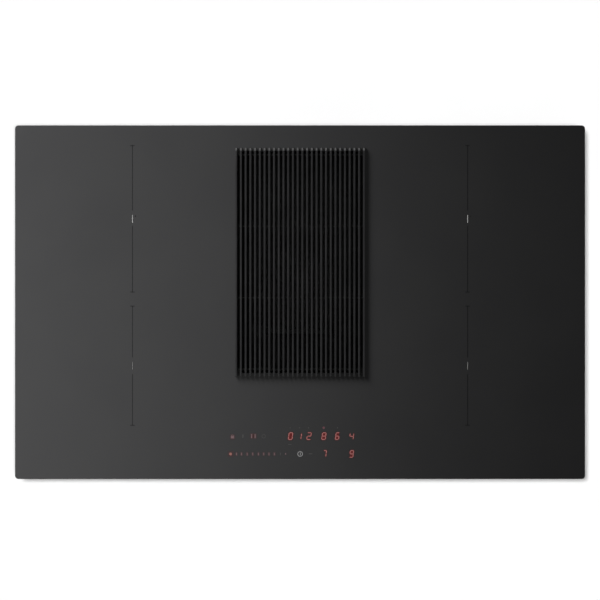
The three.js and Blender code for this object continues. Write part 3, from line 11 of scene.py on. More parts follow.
import bmesh
import bpy
import numpy as np
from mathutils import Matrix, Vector


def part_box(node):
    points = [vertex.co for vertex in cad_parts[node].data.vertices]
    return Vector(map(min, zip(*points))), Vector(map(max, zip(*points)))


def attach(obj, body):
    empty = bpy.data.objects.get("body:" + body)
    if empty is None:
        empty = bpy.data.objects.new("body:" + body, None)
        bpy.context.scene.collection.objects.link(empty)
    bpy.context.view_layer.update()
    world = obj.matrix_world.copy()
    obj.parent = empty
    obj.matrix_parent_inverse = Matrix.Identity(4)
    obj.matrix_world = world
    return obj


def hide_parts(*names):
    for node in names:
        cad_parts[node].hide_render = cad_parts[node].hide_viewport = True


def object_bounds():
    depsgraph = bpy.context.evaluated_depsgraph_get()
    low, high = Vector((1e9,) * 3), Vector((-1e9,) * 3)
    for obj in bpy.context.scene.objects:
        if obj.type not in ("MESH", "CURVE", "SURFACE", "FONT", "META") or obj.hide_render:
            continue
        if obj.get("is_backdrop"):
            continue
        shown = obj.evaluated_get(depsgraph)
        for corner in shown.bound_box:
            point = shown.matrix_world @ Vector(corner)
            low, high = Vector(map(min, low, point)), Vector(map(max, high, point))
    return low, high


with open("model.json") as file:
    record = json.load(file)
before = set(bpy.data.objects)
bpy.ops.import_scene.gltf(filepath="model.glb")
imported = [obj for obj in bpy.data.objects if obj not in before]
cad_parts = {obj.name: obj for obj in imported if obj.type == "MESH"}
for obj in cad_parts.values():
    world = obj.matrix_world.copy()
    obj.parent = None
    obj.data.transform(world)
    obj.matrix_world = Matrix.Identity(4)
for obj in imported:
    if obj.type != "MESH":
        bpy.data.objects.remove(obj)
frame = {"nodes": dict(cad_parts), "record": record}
cad_low, cad_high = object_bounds()

# %% [markdown]
# ## Working in millimetres
# The parts are drawn in millimetres, because that is how a cooktop is measured. `limits` reads a CAD node's
# box, so that a new piece takes its size from the part it belongs to and not from a copied number.

# %% Millimetres and the boxes of CAD nodes
MM = 0.001


def limits(node):
    """A CAD node's lowest and highest corners, in millimetres."""
    low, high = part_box(node)
    return np.array(low) / MM, np.array(high) / MM


glass_low, glass_high = limits("glass_plate")
glass_top = glass_high[2]
print("glass:", np.round(glass_high - glass_low, 2), "top at", round(glass_top, 2))

# %% [markdown]
# ## Surfaces from grids of points
# Every new shape is a grid: rows of points, one row after another, each row a closed ring or a strip. One
# function numbers the quads between neighbouring rows, and a ring left open at an end gets a flat cap. Whole
# arrays are worked out at once, which is faster and clearer than a loop over vertices.

# %% From rings of points to a closed shape


def quads(rows, columns, close_rows=False):
    """The quads of a grid whose columns wrap round.

    Each joins a point, its neighbour in the row, and the two points beside them in the next row.
    """
    r, c = np.meshgrid(np.arange(rows if close_rows else rows - 1), np.arange(columns), indexing="ij")
    nxt = (c + 1) % columns
    up = (r + 1) % rows
    corners = [r * columns + c, r * columns + nxt, up * columns + nxt, up * columns + c]
    return np.stack(corners, -1).reshape(-1, 4).tolist()


def skin(rings, close_rows=False):
    """A closed shape through an array of rings (rows, columns, 3): quads between rings, caps at open ends."""
    rings = np.asarray(rings, float)
    rows, columns = rings.shape[:2]
    faces = quads(rows, columns, close_rows)
    if not close_rows:
        last = (rows - 1) * columns
        faces.append(list(range(columns))[::-1])
        faces.append([last + i for i in range(columns)])
    return rings.reshape(-1, 3), faces


def copies(shape, offsets):
    """The same shape at each of several offsets: the points plus each offset, and the faces renumbered."""
    points, faces = shape
    offsets = np.asarray(offsets, float).reshape(-1, 1, 3)
    many = (points[None] + offsets).reshape(-1, 3)
    return many, [[i + k * len(points) for i in f] for k in range(len(offsets)) for f in faces]


print("a grid of 3 rings of 4 has", len(quads(3, 4)), "quads")

# %% [markdown]
# ## From shapes to pieces
# A piece is one mesh object. It may hold many closed shapes, as a casting or a sheet of print does. The
# normals are recalculated, so that every face looks outwards, and edges sharper than 35 degrees stay crisp
# while the rest are shaded smooth.

# %% Make a piece and hang it on its body


def make_piece(name, shapes, finish, body, stands_for=()):
    """One mesh object from shapes in millimetres, with its finish, riding on a CAD body."""
    points, faces, start = [], [], 0
    for p, f in shapes:
        points.append(p)
        faces.extend([[i + start for i in face] for face in f])
        start += len(p)
    mesh = bpy.data.meshes.new(name)
    mesh.from_pydata((np.concatenate(points) * MM).tolist(), [], faces)
    bm = bmesh.new()
    bm.from_mesh(mesh)
    bmesh.ops.recalc_face_normals(bm, faces=bm.faces)
    bm.to_mesh(mesh)
    bm.free()
    mesh.shade_smooth()
    mesh.set_sharp_from_angle(angle=math.radians(35))
    piece = bpy.data.objects.new(name, mesh)
    bpy.context.scene.collection.objects.link(piece)
    mesh.materials.append(finish.material)
    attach(piece, body)
    if stands_for:
        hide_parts(*stands_for)
    print(f"{name}: {len(mesh.polygons)} faces")
    return piece


# %% [markdown]
# ## Outlines
# Two outlines serve most parts of this cooktop: a rounded rectangle, for everything moulded or folded, and a
# circle, for everything turned. Both start at the same place and run the same way round, so that rings of
# different sizes join cleanly.

# %% Rounded rectangles and circles


def rounded_rectangle(width, depth, radius, corner_steps=8):
    """Points round a rectangle: each corner is a quarter circle about a centre one radius inside it."""
    turn = np.linspace(0, math.pi / 2, corner_steps + 1)
    corners = []
    for k, (sx, sy) in enumerate([(1, 1), (-1, 1), (-1, -1), (1, -1)]):
        angle = turn + k * math.pi / 2
        x = sx * (width / 2 - radius) + radius * np.cos(angle)
        y = sy * (depth / 2 - radius) + radius * np.sin(angle)
        corners.append(np.stack([x, y], -1))
    return np.concatenate(corners)


def circle(radius, steps=64):
    """Points round a circle: radius times the cosine and the sine of equal steps of angle."""
    angle = np.linspace(0, 2 * math.pi, steps, endpoint=False)
    return np.stack([radius * np.cos(angle), radius * np.sin(angle)], -1)


def level(outline, z, x=0.0, y=0.0):
    """A flat outline as a level ring at height z, about the point x, y."""
    return np.column_stack([outline[:, 0] + x, outline[:, 1] + y, np.full(len(outline), float(z))])


def facing_back(outline, y, x=0.0, z=0.0):
    """A flat outline as an upright ring that faces the back, at depth y."""
    return np.column_stack([outline[:, 0] + x, np.full(len(outline), float(y)), outline[:, 1] + z])


def slab(outline, low, high):
    """A flat outline (in plan) thickened between two heights."""
    return skin([level(outline, low), level(outline, high)])


print("rounded rectangle:", len(rounded_rectangle(10, 6, 1)), "points; circle:", len(circle(5)), "points")

# %% [markdown]
# ## Finishes from noise
# A finish is a small network of nodes. Noise in the object's own coordinates varies the colour and the
# roughness, and a finer noise pushes the surface in and out through a bump node. Object coordinates are in
# metres, so a scale of 1000 makes grains about a millimetre across.

# %% A helper that builds one network of nodes


class Finish:
    """A new material with its Principled shader, and short ways to add the nodes that feed it."""

    def __init__(self, name):
        self.material = bpy.data.materials.new(name)
        self.material.use_nodes = True
        self.nodes = self.material.node_tree.nodes
        self.shader = self.nodes["Principled BSDF"]
        self.place = self.nodes.new("ShaderNodeTexCoord").outputs["Object"]
        print("finish:", name)

    def link(self, source, target):
        self.material.node_tree.links.new(source, target)

    def feed(self, socket, source):
        """Joins a node's output to one of the shader's own sockets."""
        self.link(source, self.shader.inputs[socket])

    def stretched(self, *scale):
        """Object coordinates multiplied along each axis."""
        mapping = self.nodes.new("ShaderNodeMapping")
        mapping.inputs["Scale"].default_value = scale
        self.link(self.place, mapping.inputs["Vector"])
        return mapping.outputs["Vector"]

    def along(self, axis):
        """One of the object coordinates, in metres."""
        node = self.nodes.new("ShaderNodeSeparateXYZ")
        self.link(self.place, node.inputs["Vector"])
        return node.outputs[axis]

    def noise(self, scale, detail=4.0, place=None):
        """Smooth noise between 0 and 1 whose features are about one over the scale across."""
        node = self.nodes.new("ShaderNodeTexNoise")
        node.inputs["Scale"].default_value = scale
        node.inputs["Detail"].default_value = detail
        self.link(place or self.place, node.inputs["Vector"])
        return node.outputs["Fac"]

    def spread(self, value, low, high, start=0.35, end=0.65):
        """Maps start..end of a pattern onto low..high, along a straight line."""
        node = self.nodes.new("ShaderNodeMapRange")
        for socket, number in zip(("From Min", "From Max", "To Min", "To Max"), (start, end, low, high)):
            node.inputs[socket].default_value = number
        self.link(value, node.inputs["Value"])
        return node.outputs["Result"]

    def blend(self, value, dark, light, start=0.35, end=0.65):
        """A colour that goes from dark to light as a pattern goes from start to end."""
        node = self.nodes.new("ShaderNodeValToRGB")
        for stop, at, colour in zip(node.color_ramp.elements, (start, end), (dark, light)):
            stop.position, stop.color = at, (*colour, 1)
        self.link(value, node.inputs["Fac"])
        return node.outputs["Color"]

    def bump(self, value, depth_mm):
        """Pushes the surface in and out by a pattern, by at most depth_mm."""
        node = self.nodes.new("ShaderNodeBump")
        node.inputs["Strength"].default_value = 1.0
        node.inputs["Distance"].default_value = depth_mm * MM
        self.link(value, node.inputs["Height"])
        self.feed("Normal", node.outputs["Normal"])

    def set(self, **numbers):
        """Sets the shader's own sockets, for what is the same all over the surface."""
        for socket, number in numbers.items():
            self.shader.inputs[socket.replace("_", " ")].default_value = number


def mottled(name, dark, light, rough, grain, patch, depth_mm, metal=0.0, shine=0.5):
    """The usual finish: patches vary the colour and the roughness a little, and fine grains stand in relief.

    A shine of 0.5 is the shader's own, as of any smooth plastic. Less than that mirrors less.
    """
    f = Finish(name)
    patches = f.noise(patch)
    f.feed("Base Color", f.blend(patches, dark, light))
    f.feed("Roughness", f.spread(patches, *rough))
    f.bump(f.noise(grain, 2.0), depth_mm)
    f.set(Metallic=metal, Specular_IOR_Level=shine)
    return f


# %% [markdown]
# ## The glass
# The plate is ceramic glass, printed black underneath. It isn't a perfect mirror: fine structure in the glass
# scatters a little light, so that soft shadows show on it. A clear, smooth dielectric over a very dark grey
# does both. Its colour wanders by a fraction, as the print under real glass does.

# %% Black ceramic glass
black_glass = Finish("black_ceramic_glass")
cloud = black_glass.noise(9.0, 3.0)
black_glass.feed("Base Color", black_glass.blend(cloud, (0.0252, 0.0252, 0.0258), (0.0268, 0.0268, 0.0272)))
black_glass.feed("Roughness", black_glass.spread(cloud, 0.08, 0.10))
black_glass.bump(black_glass.noise(60.0, 1.0), 0.002)
black_glass.set(IOR=1.5)

# %% [markdown]
# ## Enamel, plastic, rubber and foam
# The grille is cast and coated with matt black enamel, which has the faint orange peel of sprayed glass frit.
# The mouldings have a spark-eroded grain. Rubber is duller still. They share one recipe and differ in colour,
# grain and depth. The drip tank lies right under the filter, so it is a dark grey moulding: a light one would
# show through the sheet as bright specks, and the photograph shows none.

# %% Dark coatings and mouldings
enamel = mottled(
    "matt_black_enamel", (0.0125, 0.0125, 0.013), (0.0172, 0.0172, 0.0177), (0.22, 0.27), 900.0, 40.0, 0.006
)
dull_enamel = mottled(
    "dull_black_enamel", (0.014, 0.014, 0.014), (0.02, 0.02, 0.02), (0.5, 0.6), 900.0, 40.0, 0.01, shine=0.08
)
black_moulding = mottled(
    "black_grained_moulding", (0.022, 0.022, 0.024), (0.032, 0.032, 0.034), (0.48, 0.6), 1600.0, 25.0, 0.03
)
grey_moulding = mottled(
    "grey_grained_moulding", (0.17, 0.18, 0.19), (0.22, 0.23, 0.24), (0.46, 0.58), 1500.0, 22.0, 0.03
)
tank_greys = (0.055, 0.056, 0.058), (0.072, 0.073, 0.075)
tank_moulding = mottled("dark_grey_grained_moulding", *tank_greys, (0.46, 0.58), 1500.0, 22.0, 0.03)
white_moulding = mottled(
    "white_moulding", (0.66, 0.66, 0.63), (0.73, 0.73, 0.71), (0.42, 0.52), 1200.0, 18.0, 0.015
)
bow_greys = (0.022, 0.022, 0.0225), (0.030, 0.030, 0.0305)
bow_moulding = mottled("satin_black_moulding", *bow_greys, (0.4, 0.5), 1600.0, 25.0, 0.02, shine=0.15)
rubber = mottled(
    "black_rubber_foam", (0.014, 0.014, 0.014), (0.024, 0.024, 0.023), (0.8, 0.95), 2200.0, 90.0, 0.05
)
mica_paper = mottled(
    "pressed_mica_paper", (0.52, 0.47, 0.36), (0.68, 0.63, 0.52), (0.55, 0.75), 700.0, 160.0, 0.03
)

# %% [markdown]
# ## Galvanised steel
# The chassis is folded from zinc-coated sheet. Zinc freezes in flat crystals, each of which throws light its
# own way, so the sheet looks like frosted patchwork. A Voronoi pattern gives each crystal one value, which
# sets both its grey and its roughness.

# %% Zinc sheet with its spangle
zinc = Finish("galvanised_sheet")
crystals = zinc.nodes.new("ShaderNodeTexVoronoi")
crystals.inputs["Scale"].default_value = 110.0
zinc.link(zinc.place, crystals.inputs["Vector"])
tone = zinc.nodes.new("ShaderNodeSeparateColor")
zinc.link(crystals.outputs["Color"], tone.inputs["Color"])
zinc.feed("Base Color", zinc.blend(tone.outputs["Red"], (0.47, 0.485, 0.50), (0.56, 0.575, 0.59), 0.1, 0.9))
zinc.feed("Roughness", zinc.spread(tone.outputs["Green"], 0.38, 0.48, 0.0, 1.0))
zinc.bump(zinc.noise(700.0, 3.0), 0.01)
zinc.set(Metallic=0.9)

# %% [markdown]
# ## Bare and plated metals
# Rolled aluminium and spring steel carry fine lines along one direction, so their noise is stretched. The
# motor's shell and the screws are plated, and only mottled. The filter is anodised to a satin dark grey, and
# its low shine keeps the depth of the well dark.

# %% Lined and plated metals


def lined(name, dark, light, rough, stretch, depth_mm):
    """A rolled metal: noise stretched along one axis draws fine lines in the colour, gloss and relief."""
    f = Finish(name)
    lines = f.noise(1.0, 3.0, f.stretched(*stretch))
    f.feed("Base Color", f.blend(lines, dark, light))
    f.feed("Roughness", f.spread(lines, *rough))
    f.bump(lines, depth_mm)
    f.set(Metallic=1.0)
    return f


aluminium = lined(
    "rolled_aluminium", (0.60, 0.61, 0.62), (0.76, 0.76, 0.77), (0.3, 0.46), (60, 2500, 2500), 0.008
)
spring_steel = lined(
    "spring_steel", (0.44, 0.44, 0.46), (0.60, 0.60, 0.61), (0.22, 0.36), (2500, 60, 2500), 0.006
)
shaft_steel = lined(
    "ground_shaft_steel", (0.50, 0.50, 0.52), (0.66, 0.66, 0.67), (0.14, 0.26), (300, 300, 4000), 0.004
)
motor_steel = mottled(
    "passivated_motor_shell", (0.22, 0.23, 0.25), (0.30, 0.31, 0.32), (0.3, 0.45), 1300.0, 30.0, 0.012, 0.85
)
screw_steel = mottled(
    "zinc_plated_screws", (0.40, 0.41, 0.43), (0.58, 0.59, 0.60), (0.25, 0.4), 2600.0, 400.0, 0.01, 0.95
)
filter_greys = (0.038, 0.038, 0.0385), (0.048, 0.048, 0.0485)
dark_mesh = mottled("dark_anodised_filter", *filter_greys, (0.55, 0.7), 900.0, 120.0, 0.015, shine=0.03)

# %% [markdown]
# ## Copper litz and circuit board
# An induction coil is wound from litz, a rope of many varnished strands. Tight waves, bent by a little noise,
# draw the strands across each turn. A circuit board is green lacquer over copper tracks. The distance to the
# edge of square Voronoi cells gives narrow lines that meet at right angles, as tracks do.

# %% Copper litz and the circuit board
litz = Finish("varnished_copper_litz")
strands = litz.nodes.new("ShaderNodeTexWave")
strands.bands_direction = "DIAGONAL"
for socket, number in (("Scale", 520.0), ("Distortion", 2.2), ("Detail", 2.0), ("Detail Scale", 3.0)):
    strands.inputs[socket].default_value = number
litz.link(litz.place, strands.inputs["Vector"])
twist = strands.outputs["Fac"]
litz.feed("Base Color", litz.blend(twist, (0.34, 0.14, 0.06), (0.68, 0.34, 0.18), 0.2, 0.8))
litz.feed("Roughness", litz.spread(twist, 0.5, 0.28, 0.0, 1.0))
litz.bump(twist, 0.12)
litz.set(Metallic=0.8)

board = Finish("green_solder_mask")
tracks = board.nodes.new("ShaderNodeTexVoronoi")
tracks.distance = "CHEBYCHEV"
tracks.feature = "DISTANCE_TO_EDGE"
tracks.inputs["Scale"].default_value = 190.0
board.link(board.place, tracks.inputs["Vector"])
from_track = tracks.outputs["Distance"]
board.feed("Base Color", board.blend(from_track, (0.045, 0.20, 0.09), (0.018, 0.10, 0.045), 0.02, 0.09))
board.feed("Roughness", board.spread(from_track, 0.28, 0.4, 0.0, 0.3))
board.bump(from_track, 0.03)

# %% [markdown]
# ## A finish for every CAD node
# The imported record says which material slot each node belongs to. One table from slot to finish therefore
# dresses all sixty nodes, and a node added later is dressed too.

# %% Dress the CAD nodes by their slots
finish_of = {
    "ceramic_glass": black_glass,
    "black_rubber": rubber,
    "black_plastic": black_moulding,
    "enamelled_iron": enamel,
    "filter_aluminium": dark_mesh,
    "zinc_sheet": zinc,
    "spring_steel": spring_steel,
    "aluminium": aluminium,
    "copper_litz": litz,
    "mica": mica_paper,
    "circuit_board": board,
    "grey_plastic": grey_moulding,
    "white_plastic": white_moulding,
    "motor_steel": motor_steel,
    "shaft_steel": shaft_steel,
}
slot_of = {part["node"]: part["material_slot"] for part in frame["record"]["subparts"]}
for name, node in frame["nodes"].items():
    for place in node.material_slots:
        place.material = finish_of[slot_of[name]].material
print("dressed", len(frame["nodes"]), "nodes from", len(finish_of), "slots")

# %% [markdown]
# ## The grille's slats
# The grille is the part that the eye goes to: 28 thin cast slats that run front to back. A slat's section is
# a tall rounded bar. It is carried from the front end to the back. Near each end its top falls in a quarter
# circle and its sides draw in, as on a casting that is fettled by hand. The rear ends fall more slowly than
# the front ones, to catch the highlight that they have in the photograph. One slat is worked out, and then
# repeated.

# %% One slat, carried from end to end
grille_low, grille_high = limits("grille")
slat_count = 28
slat_thickness = 2.8
front_round, back_round = 1.6, 5.2
edge_round = 0.75
straight_from = 30.0
slat_pitch = (grille_high[0] - grille_low[0] - slat_thickness) / (slat_count - 1)
slat_height = grille_high[2] - grille_low[2]
grille_y = (grille_low[1] + grille_high[1]) / 2
slat_half = (grille_high[1] - grille_low[1]) / 2


def slat_shape():
    """A slat: the rounded section times a width factor and a height that both fall off near the ends.

    The height at y is the full height less R minus the square root of R squared minus d squared. R is that
    end's round, and d is how far y is past the start of the round.
    """
    section = rounded_rectangle(slat_thickness, slat_height, edge_round, 3)
    share = np.array([0, 0.04, 0.14, 0.31, 0.56, 0.81, 1.0])
    front = -slat_half + np.append(share * front_round, straight_from)
    back = slat_half - np.append(share * back_round, straight_from)
    y = np.concatenate([front, back[::-1]])
    end_round = np.where(y < 0, front_round, back_round)
    past = np.clip(np.abs(y) - (slat_half - end_round), 0, end_round)
    drop = end_round - np.sqrt(end_round**2 - past**2)
    to_end = np.minimum(slat_half - np.abs(y), edge_round)
    narrow = edge_round - np.sqrt(np.maximum(edge_round**2 - (edge_round - to_end) ** 2, 0))
    up = (section[:, 1] / slat_height + 0.5)[None, :]
    x = section[None, :, 0] * (1 - narrow / (slat_thickness / 2) * 0.8)[:, None]
    z = grille_low[2] + up * (slat_height - drop)[:, None]
    return skin(np.stack([x, np.broadcast_to(y[:, None] + grille_y, x.shape), z], -1))


slat_x = (np.arange(slat_count) - (slat_count - 1) / 2) * slat_pitch
slats = copies(slat_shape(), np.stack([slat_x, 0 * slat_x, 0 * slat_x], -1))
print("slat pitch", round(slat_pitch, 3), "mm over", slat_count, "slats")

# %% [markdown]
# The enamel gathers at the rear ends of the slats as it is fired, and is glossier there: in the photograph
# these ends are the brightest points of the grille. The gloss rises over the last few millimetres along y.

# %% Glossier rear ends
dull_until, glossy_from = (grille_high[1] - back_round + np.array([-0.4, 1.2])) * MM
gloss = enamel.spread(enamel.along("Y"), 0.23, 1.0, dull_until, glossy_from)
enamel.feed("Specular IOR Level", gloss)
print("the gloss rises from y", round(dull_until, 4), "to", round(glossy_from, 4), "m")

# %% [markdown]
# Four cross bars tie the slats together below their tops. Each is a small rounded bar carried from the first
# slat to the last, and ends inside them, as in one casting. Spray enamel hardly reaches down to them, so they
# are duller.

# %% The cross bars
bar_rise, bar_height, bar_thickness = 0.5, 2.5, 2.0
bar_pitch = 104.0
bar_y = grille_y + (np.arange(4) - 1.5) * bar_pitch
bar_section = rounded_rectangle(bar_thickness, bar_height, 0.5, 3)


def bar_shape():
    """A bar: one rounded section that faces along x, at the first slat's middle and at the last one's."""
    z = grille_low[2] + bar_rise + bar_height / 2
    rings = np.zeros((2, len(bar_section), 3))
    rings[..., 0] = slat_x[[0, -1], None]
    rings[..., 1:] = bar_section + [0, z]
    return skin(rings)


bars = copies(bar_shape(), np.stack([0 * bar_y, bar_y, 0 * bar_y], -1))
make_piece("grille_casting", [slats], enamel, "grille", ["grille"])
make_piece("grille_bars", [bars], dull_enamel, "grille")

# %% [markdown]
# ## The grease filter
# The filter sheet is expanded metal: slit and stretched until the slits open into lozenges. Neighbouring
# strands zigzag in opposite directions and meet at their peaks, and each strand also rises and falls, because
# the stretching twists it. Two such layers lie crosswise on each other, so that grease can't pass straight
# through.

# %% Expanded metal in two crossed layers
sheet_low, sheet_high = limits("filter_mesh")
lozenge_length, lozenge_width = 7.0, 3.4
strand_width, strand_thickness, strand_rise = 0.9, 0.4, 0.25
sheet_margin, layer_offset = 1.0, 0.52


def strands_of_layer(low, high, z_middle, crosswise=False):
    """Zigzag strands that fill a rectangle: each is its own line plus or minus a triangle wave.

    The strand rises and falls with the same wave. They all run along x, or along y in the crosswise layer,
    which is worked out with x and y exchanged.
    """
    low, high = (low[1::-1], high[1::-1]) if crosswise else (low[:2], high[:2])
    along = np.arange(low[0] + sheet_margin, high[0] - sheet_margin, lozenge_length / 4)
    count = int((high[1] - low[1] - 2 * sheet_margin - lozenge_width) / lozenge_width)
    wave = np.abs((np.arange(len(along)) % 4) - 2) - 1
    sign = np.where(np.arange(count) % 2, 1.0, -1.0)[:, None]
    line = (low[1] + high[1]) / 2 + (np.arange(count) - (count - 1) / 2)[:, None] * lozenge_width
    across = line + sign * wave * (lozenge_width - strand_width) / 2
    z = z_middle + strand_rise * sign * wave
    section = rounded_rectangle(strand_width, strand_thickness, 0.12, 0)
    rings = np.zeros((count, len(along), len(section), 3))
    rings[..., 1 if crosswise else 0] = along[None, :, None]
    rings[..., 0 if crosswise else 1] = across[..., None] + section[None, None, :, 0]
    rings[..., 2] = z[..., None] + section[None, None, :, 1]
    return [skin(strand) for strand in rings]


sheet_middle = (sheet_low[2] + sheet_high[2]) / 2
upper_layer = strands_of_layer(sheet_low, sheet_high, sheet_middle + layer_offset)
lower_layer = strands_of_layer(sheet_low, sheet_high, sheet_middle - layer_offset, crosswise=True)
layers = upper_layer + lower_layer
make_piece("filter_expanded_sheet", layers, dark_mesh, "grease_filter", ["filter_mesh"])

# %% [markdown]
# The bow that lifts the filter is a moulded bar. The CAD draws it as a flat cut-out. Here a rounded section
# follows the bow's centre line: up one raked leg, across the top, and down the other.

# %% The filter's lifting bow
bow_low, bow_high = limits("filter_handle")
bow_depth = bow_high[1] - bow_low[1]
bow_bar, bow_lean = 6.0, 10.0
straight_share = 0.72


def bow_path():
    """The bow's centre line in x and z, at 41 steps of t from -1 to 1.

    The top runs straight until t passes the straight share. From there c goes from 0 to 1: the path leans out
    by the lean times one less (1 - c) to the power 1.4, and falls by the rise times c to the power 2.2.
    """
    half = (bow_high[0] - bow_low[0]) / 2 - bow_bar / 2 - 1.0
    rise = bow_high[2] - bow_low[2] - bow_bar / 2
    t = np.linspace(-1, 1, 41)
    corner = np.clip((np.abs(t) - straight_share) / (1 - straight_share), 0, 1)
    leg = half - bow_lean * (1 - corner) ** 1.4
    x = np.sign(t) * np.where(corner > 0, leg, (half - bow_lean) * np.abs(t) / straight_share)
    return x, bow_low[2] + rise * (1 - corner**2.2)


def bow_shape():
    """The section turned square to the path: its width lies a right angle round from the path's direction."""
    x, z = bow_path()
    along = np.stack([np.gradient(x), np.gradient(z)], -1)
    along /= np.linalg.norm(along, axis=1, keepdims=True)
    section = rounded_rectangle(bow_bar, bow_depth, 2.2, 5)
    rings = np.zeros((len(x), len(section), 3))
    rings[..., 0] = x[:, None] - along[:, None, 1] * section[None, :, 0]
    rings[..., 2] = np.maximum(z[:, None] + along[:, None, 0] * section[None, :, 0], bow_low[2])
    rings[..., 1] = (bow_low[1] + bow_high[1]) / 2 + section[None, :, 1]
    return skin(rings)


bow_outline = rounded_rectangle(bow_high[0] - bow_low[0], bow_depth, 1.5, 4)
bow_foot = slab(bow_outline + [0, (bow_low[1] + bow_high[1]) / 2], bow_low[2], bow_low[2] + 2.0)
bow_parts = [bow_shape(), bow_foot]
make_piece("filter_bow", bow_parts, bow_moulding, "grease_filter", ["filter_handle"])

# %% [markdown]
# ## Places read from the photograph
# The printed marks have no CAD part, so the photograph is their ruler. The glass is 570 pixels wide in it and
# 830 mm in the CAD, which gives millimetres for a pixel and a place on the glass for any mark.

# %% From a pixel to a place on the glass
image_size = 600
mm_per_pixel = 1.4559
glass_middle = (300.05, 302.2)


def on_glass(px, py):
    """Millimetres from the glass's middle: pixels right of it, and pixels above it, times the scale."""
    return np.array([(px - glass_middle[0]) * mm_per_pixel, (glass_middle[1] - py) * mm_per_pixel])


print("left edge of the glass:", np.round(on_glass(15.0, 302.2), 1))

# %% [markdown]
# ## Printed ink
# Ceramic ink is fired onto the glass and stands a few hundredths of a millimetre above it. The line ink is a
# grey darker than the glass and nearly as glossy, so the lines show only as a slightly darker trace, as in
# the photograph. The ticks are white and matt. All inks vary too finely for the eye to see, so one helper
# fixes their grain.

# %% Inks


def ink(name, dark, light, rough, relief_mm, shine=0.5):
    """A mottled finish with patches of about three millimetres and grains of a third of a millimetre."""
    return mottled(name, dark, light, rough, 3000.0, 300.0, relief_mm, shine=shine)


line_ink = ink("dark_grey_ink", (0.0115, 0.0115, 0.012), (0.0143, 0.0143, 0.0148), (0.10, 0.14), 0.001, 0.26)
dot_ink = ink("black_ink", (0.004, 0.004, 0.004), (0.006, 0.006, 0.006), (0.10, 0.14), 0.001, 0.05)
white_ink = ink("white_ink", (0.44, 0.44, 0.43), (0.52, 0.52, 0.51), (0.5, 0.6), 0.004)
grey_ink = ink("grey_ink", (0.22, 0.22, 0.22), (0.28, 0.28, 0.28), (0.5, 0.6), 0.004)
dim_ink = ink("dim_grey_ink", (0.032, 0.032, 0.031), (0.042, 0.042, 0.041), (0.5, 0.6), 0.004)

# %% [markdown]
# Every mark is a flat outline thickened to the ink's height: a bar, or a round dot. The printed pieces all
# belong to the glass, so they ride on its body.

# %% Marks of ink
ink_low, ink_high = glass_top - 0.02, glass_top + 0.05


def stroke(x, y, width, depth):
    """A small upright or level bar of ink about a point: a rectangle thickened to the ink's height."""
    return slab(rounded_rectangle(width, depth, 0, 0) + [x, y], ink_low, ink_high)


def dot(px, py, radius, steps):
    """A round dot of ink about a pixel: a circle thickened to the ink's height."""
    return slab(circle(radius, steps) + on_glass(px, py), ink_low, ink_high)


def print_on_glass(name, shapes, finish):
    """One piece of print, which rides with the glass."""
    return make_piece(name, shapes, finish, "base")


print("ink from", round(ink_low, 2), "to", round(ink_high, 2), "mm")

# %% [markdown]
# ## Zone marks
# Each cooking zone is marked by one line with a short bar at both ends, and a white tick at its middle, where
# the pan's centre goes. The rear pair is as long as a 210 mm zone and the front pair as a 175 mm one. The
# ticks are a fraction of a millimetre wide. They are wider at the right than at the left, because the
# photograph shows both sides nearly equally bright and the key lamp stands at the left.

# %% The lines and ticks of the four zones
zone_x = 244.0
line_width, end_bar = 1.3, 6.7
zone_lines = {"rear": (228.0, 14.8, 133.5, 111.5), "front": (-5.7, -179.2, -80.4, -104.6)}
tick_places = {"rear": (121.3, 11.6, 0.36, 0.95), "front": (-92.4, 11.2, 0.12, 0.4)}

marks, ticks = [], []
for side in (-1, 1):
    x = side * zone_x
    for back, front, gap_back, gap_front in zone_lines.values():
        marks.append(stroke(x, (back + gap_back) / 2, line_width, back - gap_back))
        marks.append(stroke(x, (front + gap_front) / 2, line_width, gap_front - front))
        marks.extend(stroke(x, y, end_bar, line_width) for y in (back, front))
    for y, length, *widths in tick_places.values():
        ticks.append(stroke(x, y, widths[side > 0], length))
zone_dots = [dot(135.4, 216.2, 0.9, 20), dot(470.4, 216.2, 0.7, 20)]
print_on_glass("zone_lines", marks, line_ink)
print_on_glass("zone_ticks", ticks, white_ink)
print_on_glass("zone_dots", zone_dots, dot_ink)

# %% [markdown]
# ## Lit figures
# The panel shows red seven-segment figures that shine through the glass. Light from under dark glass is soft
# and dim, so a lit finish has a dark colour of its own and gives off only a little light of the same colour.

# %% Light that shines through the glass


def lit(name, dark, light, strength):
    """A glowing finish: its colour varies by noise, and it gives off its own light."""
    f = Finish(name)
    glow = f.blend(f.noise(500.0), dark, light)
    f.feed("Base Color", glow)
    f.feed("Emission Color", glow)
    f.set(Emission_Strength=strength, Roughness=0.35, Specular_IOR_Level=0.3)
    return f


lit_red = lit("lit_red", (0.27, 0.108, 0.101), (0.322, 0.135, 0.127), 0.30)
dim_pink = lit("dim_pink", (0.115, 0.074, 0.077), (0.14, 0.092, 0.096), 0.10)
lit_orange = lit("lit_orange", (0.165, 0.073, 0.062), (0.20, 0.092, 0.079), 0.30)
dim_purple = lit("dim_purple", (0.088, 0.038, 0.045), (0.114, 0.050, 0.057), 0.10)
inner_glow = lit("inner_glow", (0.068, 0.007, 0.007), (0.085, 0.009, 0.009), 0.20)
outer_glow = lit("outer_glow", (0.030, 0.012, 0.012), (0.037, 0.0145, 0.0145), 0.10)
faint_glow = lit("faint_glow", (0.029, 0.019, 0.020), (0.034, 0.023, 0.024), 0.10)

# %% [markdown]
# A figure leans a little, and each of its seven bars has pointed ends. The bars are drawn once in a unit
# cell, in the usual order, and a figure is the list of the bars that are lit.

